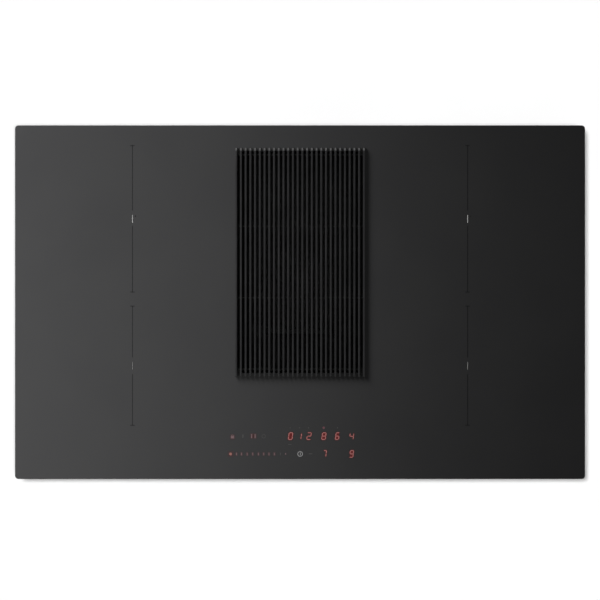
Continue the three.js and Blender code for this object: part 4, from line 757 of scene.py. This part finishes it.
# %% Seven bars and the figures made from them
bar_ends = {
    "a": ((0, 2), (1, 2)),
    "b": ((1, 2), (1, 1)),
    "c": ((1, 1), (1, 0)),
    "d": ((0, 0), (1, 0)),
    "e": ((0, 1), (0, 0)),
    "f": ((0, 2), (0, 1)),
    "g": ((0, 1), (1, 1)),
}
lit_bars = {"0": "abcdef", "1": "bc", "2": "abged", "4": "fgbc"}
lit_bars |= {"6": "afgedc", "7": "abc", "8": "abcdefg", "9": "abcdfg"}
figure_lean = 0.14
bar_gap, longest_tip = 0.12, 1.6


def figure(digit, cell, thick=1.0, top=0.05):
    """A digit between pixel limits. Each lit bar is a hexagon from one cell corner to another.

    The digit is sheared: x grows by the lean times the height. Bars thicker than 1 mm spread to both sides of
    the same middle lines, and the slab reaches `top` above the glass.
    """
    spread = (thick - 1.0) / 2
    left, right, upper, lower = cell
    low, high = on_glass(left, lower) - spread, on_glass(right, upper) + spread
    tall = high[1] - low[1] - thick
    wide = high[0] - low[0] - thick - figure_lean * tall
    shapes = []
    for name in lit_bars[digit]:
        start, end = (np.array(p) * [wide, tall / 2] for p in bar_ends[name])
        along = (end - start) / np.linalg.norm(end - start)
        across = np.array([-along[1], along[0]]) * thick / 2
        a, b = start + along * bar_gap, end - along * bar_gap
        tip = along * min(thick, longest_tip) / 2
        outline = np.array([a - tip * (thick - 1), a + tip - across, b - tip - across])
        outline = np.concatenate([outline, [b + tip * (thick - 1), b - tip + across, a + tip + across]])
        if digit == "1":
            outline[:, 0] -= wide
        outline[:, 0] += figure_lean * outline[:, 1]
        shapes.append(slab(outline + low + thick / 2, ink_low, glass_top + top))
    return shapes


figure_cells = {
    "0": (287.9, 293.2, 432.4, 439.8),
    "1": (300.5, 302.9, 433.2, 439.3),
    "2": (306.4, 311.7, 432.4, 439.8),
    "8": (321.3, 326.5, 432.4, 439.8),
    "6": (334.9, 339.8, 432.4, 439.8),
    "4": (349.1, 354.2, 433.2, 439.4),
    "7": (322.7, 326.9, 450.2, 456.9),
    "9": (349.1, 354.1, 450.2, 457.6),
}


def all_figures(thick=1.0, top=0.05):
    """Every bar of every figure on the panel."""
    return [bar for digit, cell in figure_cells.items() for bar in figure(digit, cell, thick, top)]


print_on_glass("panel_figures", all_figures(), lit_red)

# %% [markdown]
# Light that leaves a lit bar spreads a little inside the glass, so dark red shows round every bar. The same
# bars drawn wider and lower stand for it, in two steps, the wider one dimmer. Figures that close round a
# window also light the glass inside it.

# %% The glow round the figures, and inside the ones that close


def window(cell, inset=0.9):
    """A rectangle inside a figure's cell, sheared as the figure is."""
    left, right, upper, lower = cell
    low, high = on_glass(left, lower) + inset, on_glass(right, upper) - inset
    middle, (wide, tall) = (low + high) / 2, high - low
    outline = rounded_rectangle(wide - figure_lean * tall, tall, 0, 0)
    outline[:, 0] += figure_lean * outline[:, 1]
    return slab(outline + middle, ink_low, glass_top + 0.03)


windows = [window(figure_cells[digit]) for digit in "0869"]
print_on_glass("figure_glow_outer", all_figures(3.2, 0.016), outer_glow)
print_on_glass("figure_glow_inner", all_figures(1.6, 0.033) + windows, inner_glow)

# %% [markdown]
# ## Keys, slider and power sign
# Round marks are rings of ink, and the slider is a row of short bars that ends in a plain bar. Small generic
# signs stand over the keys: a padlock, two pause bars, and a plain ring. All of them are outlines thickened
# like the other marks.

# %% Rings, arcs and bars given in pixels


def ring_mark(px, py, radius, width, start=0.0, end=2 * math.pi):
    """A ring, or part of one, about a pixel: two arcs, of radius plus and minus half the width, joined up."""
    angle = np.linspace(start, end, 40)
    unit = np.stack([np.cos(angle), np.sin(angle)], -1)
    around = np.stack([unit * (radius - width / 2), unit * (radius + width / 2)], 1) + on_glass(px, py)
    low, high = (np.concatenate([around, np.full((40, 2, 1), z)], -1) for z in (ink_low, ink_high))
    rings = np.stack([low[:, 0], low[:, 1], high[:, 1], high[:, 0]], 1)
    closed = end - start >= 2 * math.pi
    return skin(rings[:-1] if closed else rings, closed)


def pixel_stroke(px, py, wide, tall):
    """A bar of ink given in pixels of the photograph."""
    return stroke(*on_glass(px, py), wide * mm_per_pixel, tall * mm_per_pixel)


power_sign = [ring_mark(300.15, 453.95, 3.45, 0.9), pixel_stroke(300.35, 454.0, 0.7, 2.7)]
print_on_glass("power_sign", power_sign, grey_ink)

# %% [markdown]
# The slider and the signs over the keys are dim, and the glass glows faintly round each. A low, rounded patch
# stands for that glow. The slider's first mark is a lit orange dot.

# %% The slider, the signs over the keys, and their glow
slider_y = 454.0


def soft_patch(px, py, wide, tall):
    """A low patch of glow given in pixels: a rounded rectangle that stands hardly above the glass."""
    outline = rounded_rectangle(wide * mm_per_pixel, tall * mm_per_pixel, 1.9, 4)
    return slab(outline + on_glass(px, py), ink_low, glass_top + 0.01)


slider_x = [236.5, 241.5, 247.2, 252.7, 258.4, 263.7, 269.0, 274.4]
slider = [pixel_stroke(x, slider_y, 0.9, 2.6) for x in slider_x] + [pixel_stroke(285.6, 453.9, 0.9, 1.6)]
padlock = [pixel_stroke(232.5, 437.3, 3.2, 2.2), ring_mark(232.5, 436.2, 1.7, 0.7, 0.0, math.pi)]
pause_sign = [pixel_stroke(x, 436.1, 1.0, 4.2) for x in (251.6, 255.1)]
print_on_glass("slider_and_keys", slider + padlock + pause_sign, dim_pink)

key_glow = [soft_patch(x, slider_y, 2.8, 4.2) for x in slider_x]
key_glow += [soft_patch(232.5, 436.9, 5.2, 5.4), soft_patch(253.4, 436.1, 7.0, 5.6)]
key_glow += [soft_patch(230.8, slider_y, 6.0, 6.0)]
print_on_glass("key_glow", key_glow, faint_glow)
print_on_glass("pause_glow", [pixel_stroke(253.4, 436.1, 1.6, 3.6)], outer_glow)
print_on_glass("slider_dot", [dot(230.6, slider_y, 2.05, 28)], lit_orange)
print_on_glass("timer_dot", [dot(323.7, 427.8, 1.8, 24)], dim_purple)

# %% [markdown]
# A few signs are hardly lit at all: four small dots over the figures, a ring, and short dashes.

# %% The faint signs
faint = [dot(x, 427.8, 0.8, 16) for x in (290.2, 299.4, 308.6, 337.5)]
faint += [ring_mark(263.7, 436.3, 2.6, 0.6)]
dashes = [(242.9, 436.1, 1.2, 3.2), (280.4, 454.0, 0.7, 2.6)]
dashes += [(289.8, 444.5, 3.2, 0.6), (310.6, 453.8, 3.4, 0.8)]
faint += [pixel_stroke(*dash) for dash in dashes]
print_on_glass("faint_signs", faint, dim_ink)

# %% [markdown]
# ## Screws
# Everything under the glass is held by small plated screws with a cross recess. A head is a grid in radius
# and angle: a shallow dome whose height drops inside four arms. The same grid is turned to face any way.

# %% A screw head with a cross recess
arm_half_width, arm_reach, recess_depth = 0.14, 0.6, 0.45


def screw_head(radius=3.0, height=1.5):
    """A dome: the full height times the root of one less the radius squared. Arms cut a cross into it."""
    r = np.linspace(0, 1, 9)[1:]
    angle = np.linspace(0, 2 * math.pi, 32, endpoint=False)
    rr, aa = np.meshgrid(r, angle, indexing="ij")
    x, y = rr * np.cos(aa), rr * np.sin(aa)
    arm = np.minimum(np.abs(x), np.abs(y)) < arm_half_width
    inside = arm & (np.maximum(np.abs(x), np.abs(y)) < arm_reach)
    z = np.sqrt(np.maximum(1 - rr**2, 0)) * height - inside * height * recess_depth
    top = np.stack([x * radius, y * radius, z], -1)[::-1]
    rim = np.stack([x[-1] * radius, y[-1] * radius, np.zeros(32)], -1)
    return skin(np.concatenate([rim[None] - [0, 0, 0.2], top]))


def screws_at(places, facing, radius=3.0):
    """The head turned so that its height points along `facing`, then copied to each place."""
    points, faces = screw_head(radius, radius * 0.5)
    axis = np.array(facing, float)
    side = np.cross(axis, [0, 0, 1.0] if abs(axis[2]) < 0.5 else [1.0, 0, 0])
    basis = np.stack([side, np.cross(axis, side), axis])
    return copies((points @ basis, faces), places)


print("one head has", len(screw_head()[1]), "faces")

# %% [markdown]
# ## The scroll casing
# The blower's casing is a spiral that opens steadily from its tongue to the outlet. The CAD draws it with
# flat facets. Here it follows one smooth path: along the spiral in small steps, and then along the straight
# run to the throat.

# %% The spiral's path
scroll_low, scroll_high = limits("scroll_casing")
shaft_low, shaft_high = limits("motor_shaft")
fan_x, fan_y = (shaft_low[0] + shaft_high[0]) / 2, (shaft_low[1] + shaft_high[1]) / 2
start_radius, end_radius, tongue = 84.0, 128.0, math.radians(70)
throat_y = limits("outlet_spigot")[0][1] - 0.1
scroll_wall, scroll_flange, flange_thickness, floor_thickness = 2.5, 6.0, 3.0, 2.8


def spiral_radius(angle):
    """The spiral's inner radius at an angle: it grows in proportion to the angle past the tongue."""
    return start_radius + (end_radius - start_radius) * (angle - tongue) / (2 * math.pi - tongue)


def scroll_line(steps=150):
    """The inner wall in plan about the fan's axis: the spiral, and straight runs to the throat."""
    angle = np.linspace(tongue, 2 * math.pi, steps)
    radius = spiral_radius(angle)
    spiral = np.stack([radius * np.cos(angle), radius * np.sin(angle)], -1)
    inner = np.array([[spiral[0, 0], throat_y - fan_y], [spiral[0, 0], spiral[0, 1] + 8.0]])
    outer = np.stack([np.full(12, end_radius), np.linspace(0, throat_y - fan_y, 13)[1:]], -1)
    return np.concatenate([inner, spiral, outer])


def outward(line):
    """Unit normals of an anticlockwise path: each step's direction turned a right angle clockwise."""
    step = np.gradient(line, axis=0)
    step /= np.linalg.norm(step, axis=1, keepdims=True)
    return np.stack([step[:, 1], -step[:, 0]], -1)


line = scroll_line()
print("spiral path:", len(line), "points, throat at y", round(throat_y, 1))

# %% [markdown]
# The wall is moulded with a rounded foot, which turns into the floor, and a flange at the top for the deck.
# Its section is a short list of points, and it is carried square to the path. Both ends are cut level with
# the throat. The floor is a flat ring between the wall and the motor's hole.

# %% The wall's section, carried along the path
foot_round = 4.0


def scroll_wall_shape():
    """The wall: a section of (distance outwards, height) pairs at every point of the path.

    The section goes up the outside, round the flange and down the inside.
    """
    low, high = scroll_low[2], scroll_high[2]
    w, f, t = scroll_wall, scroll_flange, flange_thickness
    floor_top = low + floor_thickness
    turn = np.linspace(0, math.pi / 2, 6)
    foot = np.stack([w - foot_round * (1 - np.sin(turn)), low + foot_round * (1 - np.cos(turn))], -1)
    outside = [[w, high - t - 1.0], [w + 1.0, high - t], [w + f - 0.6, high - t], [w + f, high - t + 0.6]]
    top = [[w + f, high - 0.6], [w + f - 0.6, high], [0.4, high], [0, high - 0.4]]
    inside = [[0, floor_top + 2.0], [-0.6, floor_top + 0.6], [-2.0, floor_top], [-6.0, floor_top]]
    section = np.concatenate([[[-6.0, low]], foot, outside, top, inside])
    away = outward(line)
    plan = line[:, None, :] + away[:, None, :] * section[None, :, :1]
    plan[0, :, 1] = plan[-1, :, 1] = throat_y - fan_y
    z = np.broadcast_to(section[None, :, 1:], plan.shape[:2] + (1,))
    return skin(np.concatenate([plan + [fan_x, fan_y], z], -1))


def scroll_floor_shape(hole=42.0):
    """The floor from the motor's hole to the wall: each point of the circle is joined to one of the path."""
    border = line + outward(line) * -5.0
    border[0, 1] = border[-1, 1] = throat_y - fan_y
    border = np.delete(border, 1, axis=0)
    angle = np.radians([45, *np.linspace(58, 360 + 36, len(border) - 1)])
    rim = np.stack([hole * np.cos(angle), hole * np.sin(angle)], -1)
    low, high = scroll_low[2], scroll_low[2] + floor_thickness
    loops = ((low, border), (low, rim), (high, rim), (high, border))
    return skin([level(loop, z, fan_x, fan_y) for z, loop in loops], True)


print("wall:", len(scroll_wall_shape()[1]), "faces, floor:", len(scroll_floor_shape()[1]), "faces")

# %% [markdown]
# Eight upright ribs stiffen the outside of the spiral. Each is a thin fin that narrows outwards and starts
# inside the wall, so that wall and rib read as one moulding.

# %% Ribs that stiffen the spiral
rib_angles = tongue + (np.arange(8) + 1) * (2 * math.pi - tongue) / 8.5


def scroll_rib(angle):
    """An upright fin at an angle: four corners in plan at three heights, from inside the wall to past it."""
    wall = spiral_radius(angle) + scroll_wall
    out = np.array([math.cos(angle), math.sin(angle)])
    side = np.array([-out[1], out[0]])
    low, high = scroll_low[2], scroll_high[2]
    rings = []
    for z, reach, half in ((low + 0.5, 1.5, 1.0), (low + 4, 4.0, 1.0), (high - 2, 4.0, 0.9)):
        corners = ((-1.2, -half), (reach, -half * 0.8), (reach, half * 0.8), (-1.2, half))
        plan = np.array([out * (wall + past) + side * across for past, across in corners])
        rings.append(level(plan, z, fan_x, fan_y))
    return skin(rings)


scroll_parts = [scroll_wall_shape(), scroll_floor_shape(), *map(scroll_rib, rib_angles)]
make_piece("scroll_casing_smooth", scroll_parts, black_moulding, "base", ["scroll_casing"])

# %% [markdown]
# ## The outlet
# The duct grows from the throat's section to that of a flat duct, 222 by 89 mm. It is a sleeve: rings go
# along its outside, turn in at the end, and come back along its inside. A round bead near the start of the
# spigot stops the duct that slides over it.

# %% The outlet as one sleeve
outlet_low, outlet_high = limits("outlet_spigot")
spigot = np.array([222.0, 89.0])
outlet_x = (outlet_low[0] + outlet_high[0]) / 2
outlet_z = (scroll_low[2] + floor_thickness + scroll_high[2]) / 2
throat_width = end_radius - start_radius * math.cos(tongue)
casing_height = scroll_high[2] - scroll_low[2]
throat = np.array([throat_width, casing_height - floor_thickness - 3.6])
spigot_start, outlet_end = outlet_high[1] - 40.0, outlet_high[1]
sleeve_wall, duct_corner = 1.8, 8.0
bead_from_start, bead_half_length, bead_rise = 6.0, 2.0, 1.6


def sleeve_ring(y, grow=0.0):
    """The sleeve's outer ring at depth y: its size goes evenly from the throat's to the spigot's."""
    t = np.clip((y - outlet_low[1]) / (spigot_start - outlet_low[1]), 0, 1)
    wide, tall = (throat + 2 * sleeve_wall) * (1 - t) + spigot * t
    outline = rounded_rectangle(wide + 2 * grow, tall + 2 * grow, duct_corner + grow, 6)
    return facing_back(outline, y, outlet_x, outlet_z)


def outlet_shape():
    """Outside rings from the throat to the end, with the bead's half circle, then inside rings back again."""
    outside = [(y, 0.0) for y in np.linspace(outlet_low[1], spigot_start, 9)]
    bead_y = spigot_start + bead_from_start
    turn = np.linspace(0, math.pi, 9)
    bead = [(bead_y - bead_half_length * math.cos(a), bead_rise * math.sin(a)) for a in turn]
    lip = [(outlet_end - 0.6, 0.0), (outlet_end, -0.5), (outlet_end, -1.3), (outlet_end - 0.6, -sleeve_wall)]
    inside = [(y, -sleeve_wall) for y in np.linspace(spigot_start, outlet_low[1], 9)]
    return skin([sleeve_ring(y, grow) for y, grow in outside + bead + lip + inside], True)


def flange_shape():
    """The bolting flange at the throat: a frame between the sleeve's outline and a squarer one round it."""
    hole = rounded_rectangle(throat[0] + 2.0, throat[1] + 2.0, duct_corner, 6)
    rim = rounded_rectangle(throat[0] + 12.0, casing_height, 4.0, 6)
    middle = (scroll_low[2] + scroll_high[2]) / 2
    rows = []
    for outline, z, y in ((rim, middle, 0), (rim, middle, 3), (hole, outlet_z, 3), (hole, outlet_z, 0)):
        rows.append(facing_back(outline, outlet_low[1] + y, outlet_x, z))
    return skin(rows, True)


outlet_parts = [outlet_shape(), flange_shape()]
make_piece("outlet_sleeve", outlet_parts, black_moulding, "base", ["outlet_spigot"])

# %% [markdown]
# ## The blower's motor
# The motor is a deep-drawn steel shell, bolted under the scroll by three lugs. It is a turned shape: a
# profile of radius and height taken round the axis.

# %% Turned shapes, and the motor


def turned(profile, x=0.0, y=0.0, steps=96):
    """A profile of (radius, height) pairs taken round an upright axis: each pair becomes one circle."""
    return skin([level(circle(radius, steps), z, x, y) for radius, z in profile])


motor_low, motor_high = limits("blower_motor")
under, crown = motor_low[2], motor_high[2]
lug_top = scroll_low[2] - 0.1
shell_radius, lug_radius, can_radius, shaft_hole = 56.0, 9.0, 40.0, 4.4
shell = [(0.5, under), (20, under), (22, under + 1.2), (44, under + 1.2), (46, under), (53.4, under)]
shell += [(55.2, under + 0.8), (shell_radius, under + 2.4), (shell_radius, lug_top), (can_radius, lug_top)]
shell += [(can_radius, crown - 4), (38.8, crown - 1.2), (36, crown), (shaft_hole, crown)]
shell += [(shaft_hole, crown - 14), (0.5, crown - 14)]
lug_profile = [(0.5, under + 1), (8, under + 1), (lug_radius, under + 1.8)]
lug_profile += [(lug_radius, lug_top), (0.5, lug_top)]
lug_places = level(circle(shell_radius, 3), 0.0, fan_x, fan_y)
lugs = copies(turned(lug_profile, 0, 0, 32), lug_places)
motor_parts = [turned(shell, fan_x, fan_y), lugs]
make_piece("motor_shell", motor_parts, motor_steel, "base", ["blower_motor"])

# %% [markdown]
# ## The drip tank
# The tank is one moulding: a deep dish with rounded corners everywhere and a rim that slides in two rails.
# The rim runs out at the front into a pull. Rings go from the underside's middle up the outside, over the rim
# and down the inside.

# %% The tank in rings
tank_low, tank_high = limits("drip_tank")
tank_rim, pull_reach = 5.0, 14.0
tank_width = tank_high[0] - tank_low[0] - 2 * tank_rim
tank_back, tank_front = tank_high[1], tank_low[1] + pull_reach
tank_y, tank_depth = (tank_back + tank_front) / 2, tank_back - tank_front
tank_draft, tank_wall, rim_thickness = 4.0, 2.2, 2.5
tank_corner, corner_points = 14.0, 9
front_points, front_half = 25, 60.0


def tank_ring(inset, z, rim=0.0, pull=0.0):
    """A rounded rectangle drawn in by `inset`, and out by `rim` at the sides.

    Evenly spaced points are added along the straight front edge, between the third corner and the fourth.
    They move forwards by `pull` times a smooth step, 3 s squared less 2 s cubed, where s falls from 1 to 0
    between 10 and 44 mm from the middle.
    """
    wide, deep = tank_width - 2 * inset + 2 * rim, tank_depth - 2 * inset
    outline = rounded_rectangle(wide, deep, tank_corner - min(inset, 9.0), corner_points - 1)
    x = np.linspace(-1, 1, front_points) * front_half
    s = np.clip(1.3 - np.abs(x) / 34.0, 0, 1)
    front_y = tank_front + inset - pull * s * s * (3 - 2 * s)
    front = level(np.column_stack([x, front_y]), z)
    around = level(outline, z, 0.0, tank_y)
    return np.concatenate([around[: 3 * corner_points], front, around[3 * corner_points :]])


floor_z, top_z = tank_low[2], tank_high[2]
rim_z, inner_draft = top_z - rim_thickness, tank_wall + tank_draft
tank_rows = (
    (9.0, floor_z),
    (tank_draft + 1.2, floor_z + 0.7),
    (tank_draft - 0.4, floor_z + 3.5),
    (0.2, rim_z - 1.0),
    (0.0, rim_z, 0.5),
    (0.0, rim_z, tank_rim - 0.5, pull_reach - 0.5),
    (0.0, rim_z + 0.6, tank_rim, pull_reach),
    (0.0, top_z - 0.6, tank_rim, pull_reach),
    (0.0, top_z, tank_rim - 0.6, pull_reach - 0.6),
    (tank_wall, top_z),
    (tank_wall + 0.4, top_z - 1.0),
    (inner_draft, floor_z + tank_wall + 4),
    (inner_draft + 3.0, floor_z + tank_wall),
)
tank = skin([tank_ring(*row) for row in tank_rows])
make_piece("drip_tank_smooth", [tank], tank_moulding, "drip_tank", ["drip_tank"])

# %% [markdown]
# ## The cable gland
# The gland is a turned plastic fitting: a collar with six flats against the box, a thread hidden behind it,
# and a ribbed cap that squeezes the seal. A radius that depends on the angle makes the flats and the ribs.

# %% A turned shape whose radius changes with the angle
gland_low, gland_high = limits("cable_gland")
gland_x, gland_z = (gland_low[0] + gland_high[0]) / 2, (gland_low[2] + gland_high[2]) / 2
gland_angle = np.linspace(0, 2 * math.pi, 96, endpoint=False)
round_form = np.ones(96)
six_flats = math.cos(math.pi / 6) / np.cos((gland_angle + math.pi / 6) % (math.pi / 3) - math.pi / 6)
ribbed = 1 + 0.025 * np.cos(24 * gland_angle)


def gland_ring(y, radius, form=round_form):
    """A circle about the gland's level axis, its radius multiplied by the form's value at each angle."""
    r = radius * form
    outline = np.stack([r * np.cos(gland_angle), r * np.sin(gland_angle)], -1)
    return facing_back(outline, y, gland_x, gland_z)


inner_end, outer_end = gland_low[1], gland_high[1]
box_back = limits("terminal_box")[1][1]
gland_rows = (
    (inner_end, 6.5),
    (inner_end, 7.4),
    (box_back + 0.1, 7.4),
    (box_back + 0.1, 11.4),
    (box_back + 0.7, 11.9, six_flats),
    (box_back + 7.0, 11.9, six_flats),
    (box_back + 7.6, 11.2),
    (box_back + 7.9, 9.8),
    (box_back + 8.4, 9.9, ribbed),
    (outer_end - 4.0, 9.6, ribbed),
    (outer_end - 0.8, 8.8),
    (outer_end, 8.0),
    (outer_end, 6.9),
    (outer_end - 0.6, 6.5),
)
gland = skin([gland_ring(*row) for row in gland_rows], True)
make_piece("gland_body", [gland], black_moulding, "base", ["cable_gland"])

# %% [markdown]
# ## Where the screws are
# The places follow the parts: round the deck's edge, and in the motor's three lugs.

# %% Screws on every joint under the glass
deck_low, deck_high = limits("fan_deck")
under_deck = deck_high[2] - 3.0
inset = 5.5
left_x, right_x = deck_low[0] + inset, deck_high[0] - inset
back_y, front_y = deck_high[1] - inset, deck_low[1] + inset
deck_screws = [(left_x, y, under_deck) for y in np.linspace(deck_low[1] + 20, deck_high[1] - 20, 6)]
deck_screws += [(x, back_y, under_deck) for x in (-60, 0, 60)]
deck_screws += [(x, front_y, under_deck) for x in (-60, 60)]
deck_screws += [(right_x, y, under_deck) for y in (-70, -20, 30, 80)]
lug_screws = level(circle(shell_radius + 3.5, 3), under + 1.8, fan_x, fan_y)
screws = [screws_at(deck_screws, (0, 0, -1)), screws_at(lug_screws, (0, 0, -1), 3.4)]
make_piece("underside_screws", screws, screw_steel, "base")
print(len(deck_screws), "deck screws,", len(lug_screws), "lug screws")

# %% [markdown]
# ## Floor, light and camera
# The photograph looks straight down on white. The floor is pale and keeps a thin shadow. It is a stage piece,
# so that it is no part of the object.

# %% The floor


def level_rectangle(name, half_x, half_y, z, corner_order):
    """One quad at height z, in metres. The order of its four corners turns it up or down."""
    mesh = bpy.data.meshes.new(name)
    corners = [(-half_x, -half_y, z), (half_x, -half_y, z), (half_x, half_y, z), (-half_x, half_y, z)]
    mesh.from_pydata(corners, [], [corner_order])
    made = bpy.data.objects.new(name, mesh)
    bpy.context.scene.collection.objects.link(made)
    print(name, "at z", round(z, 4), "m")
    return made


floor = level_rectangle("floor", 6.0, 6.0, cad_low[2] - 0.0005, (0, 1, 2, 3))
floor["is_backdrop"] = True

pale = Finish("pale_floor")
pale.feed("Base Color", pale.blend(pale.noise(3.0), (0.78, 0.78, 0.78), (0.80, 0.80, 0.80)))
pale.set(Roughness=0.9, Specular_IOR_Level=0.0)
floor.data.materials.append(pale.material)

# %% [markdown]
# The world gives a plain low light from all round, but it is white to look at. A ray that comes from the
# camera, or that a mirror or a glass passes on, sees the full white. Any other ray gets the dimmer light.

# %% The world: white to look at, dimmer as a light


def seen(nodes, link):
    """1 for a ray from the camera or off a mirror or through glass, and 0 for a ray that only lights."""
    path = nodes.new("ShaderNodeLightPath")
    either = nodes.new("ShaderNodeMath")
    any_of = nodes.new("ShaderNodeMath")
    either.operation = any_of.operation = "MAXIMUM"
    link(path.outputs["Is Camera Ray"], either.inputs[0])
    link(path.outputs["Is Glossy Ray"], either.inputs[1])
    link(either.outputs[0], any_of.inputs[0])
    link(path.outputs["Is Transmission Ray"], any_of.inputs[1])
    return any_of.outputs[0]


ambient = 0.12
world = bpy.data.worlds.new("studio")
bpy.context.scene.world = world
world.use_nodes = True
background = world.node_tree.nodes["Background"]
background.inputs["Color"].default_value = (1, 1, 1, 1)
scale = world.node_tree.nodes.new("ShaderNodeMapRange")
scale.inputs["To Min"].default_value, scale.inputs["To Max"].default_value = ambient, 1.0
join = world.node_tree.links.new
join(seen(world.node_tree.nodes, join), scale.inputs["Value"])
join(scale.outputs["Result"], background.inputs["Strength"])
print("world strength", ambient, "as a light")

# %% [markdown]
# Light linking keeps each lamp to its own work. A large soft box, the key, lights the object from the rear
# left. Its spread is narrowed, as by a grid, which keeps its light off the far right corner of the glass. A
# weak fill stands at the front. Neither is seen in reflections, because what the glass mirrors is made apart,
# in the next step. Two lamps that are nearly overhead light the floor alone. They lean opposite ways, by the
# degrees given, so that the shadow is a few pixels wide at the right and the front, and hardly a pixel wide
# elsewhere.

# %% Lamps


def linked(lamp, thing, state):
    """Makes a lamp light only one thing, or everything but that thing."""
    receivers = bpy.data.collections.new(lamp.name + "_receivers")
    receivers.objects.link(thing)
    lamp.light_linking.receiver_collection = receivers
    receivers.collection_objects[0].light_linking.link_state = state


def lamp(name, kind, place, target, **settings):
    """A lamp at a place that looks at a target."""
    data = bpy.data.lights.new(name, kind)
    for key, value in settings.items():
        setattr(data, key, value)
    made = bpy.data.objects.new(name, data)
    bpy.context.scene.collection.objects.link(made)
    made.location = place
    made.rotation_euler = (Vector(target) - Vector(place)).to_track_quat("-Z", "Y").to_euler()
    print(name, "lamp at", np.round(place, 2))
    return made


key = lamp("key", "AREA", (-0.924, 0.806, 0.848), (-0.9, -0.159, 0), size=0.9, size_y=0.96, energy=32.3)
key.data.spread = math.radians(117)
fill = lamp("fill", "AREA", (0.5, -2.2, 0.5), (0, 0, -0.05), size=1.6, size_y=0.8, energy=5.0)
for soft_box in (key, fill):
    soft_box.data.shape = "RECTANGLE"
    soft_box.visible_glossy = False
    linked(soft_box, floor, "EXCLUDE")
overhead_lamps = (("overhead", 2.72, 2.4, (-2.07, 1.5)), ("counter", 0.98, 1.2, (1.7, -1.26)))
for name, energy, width, lean in overhead_lamps:
    place = 3.0 * np.array([*np.tan(np.radians(lean)), 1.0])
    sun = lamp(name, "SUN", place, (0, 0, 0), energy=energy, angle=math.radians(width))
    linked(sun, floor, "INCLUDE")

# %% [markdown]
# Black glass shows mostly what it mirrors. The photograph's glass fades from light at the left to nearly
# black at the right, so a wide sheet hangs above it, seen only in reflections, whose light fades the same
# way. It fades along x in two ramps, one for the back of the glass and one for the front, and blends from one
# to the other along y.

# %% The sheet that the glass mirrors
sheet = level_rectangle("mirrored_sheet", 1.0, 0.9, 2.6, (0, 3, 2, 1))
sheet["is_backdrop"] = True
fade = Finish("fading_light")
fade_reach_x, fade_reach_y = 0.45, 0.24
places = (-0.40, -0.291, -0.146, 0.146, 0.291, 0.398)
behind = (0.128, 0.188, 0.282, 0.116, 0.108, 0.097)
ahead = (0.629, 0.522, 0.420, 0.077, 0.028, 0.006)
across = fade.spread(fade.along("X"), 0.0, 1.0, -fade_reach_x, fade_reach_x)
forwards = fade.spread(fade.along("Y"), 1.0, 0.0, -fade_reach_y, fade_reach_y)


def greys_across(greys):
    """A ramp along x: each grey at its own place, and straight lines between them."""
    node = fade.nodes.new("ShaderNodeValToRGB")
    stops = node.color_ramp.elements
    for _ in places[1:-1]:
        stops.new(0.5)
    for stop, at, grey in zip(stops, places, greys):
        stop.position, stop.color = (at + fade_reach_x) / (2 * fade_reach_x), (grey, grey, grey, 1)
    fade.link(across, node.inputs["Fac"])
    return node.outputs["Color"]


both = fade.nodes.new("ShaderNodeMix")
both.data_type = "RGBA"
share, first, second = [socket for socket in both.inputs if socket.enabled]
fade.link(forwards, share)
fade.link(greys_across(behind), first)
fade.link(greys_across(ahead), second)
glow = next(socket for socket in both.outputs if socket.enabled)
emission = fade.nodes.new("ShaderNodeEmission")
fade.link(glow, emission.inputs["Color"])
fade.link(emission.outputs["Emission"], fade.nodes["Material Output"].inputs["Surface"])
sheet.data.materials.append(fade.material)
for kind in ("camera", "diffuse", "transmission", "shadow", "volume_scatter"):
    setattr(sheet, f"visible_{kind}", False)

# %% [markdown]
# ## The camera
# The camera stands twenty metres above the glass with a very long lens, so that upright walls show no sides.
# Its place is the photograph's middle, a few millimetres from the glass's own.

# %% Camera
distance = 20.0
view_width = image_size * mm_per_pixel * MM
eye = bpy.data.cameras.new("camera")
eye.sensor_width = 36.0
eye.lens = eye.sensor_width * distance / view_width
eye.clip_end = 200.0
camera = bpy.data.objects.new("camera", eye)
middle_x, middle_y = on_glass(image_size / 2, image_size / 2) * MM
camera.location = (middle_x, middle_y, distance + glass_top * MM)
bpy.context.scene.collection.objects.link(camera)
bpy.context.scene.camera = camera
bpy.context.scene.view_settings.view_transform = "Standard"
print("lens", round(eye.lens, 1), "mm over", round(view_width, 4), "m")

# %% [markdown]
# ## How far the object grows past the CAD box
# How far the dressed object reaches past the CAD model's box is printed, in millimetres, at the high and the
# low corners.

# %% Print how far the object grows past the CAD box
low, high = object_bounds()
grew = np.array([np.array(high) - np.array(cad_high), np.array(cad_low) - np.array(low)]) / MM
print("grew by (mm), high and low:", np.round(grew, 2).tolist())
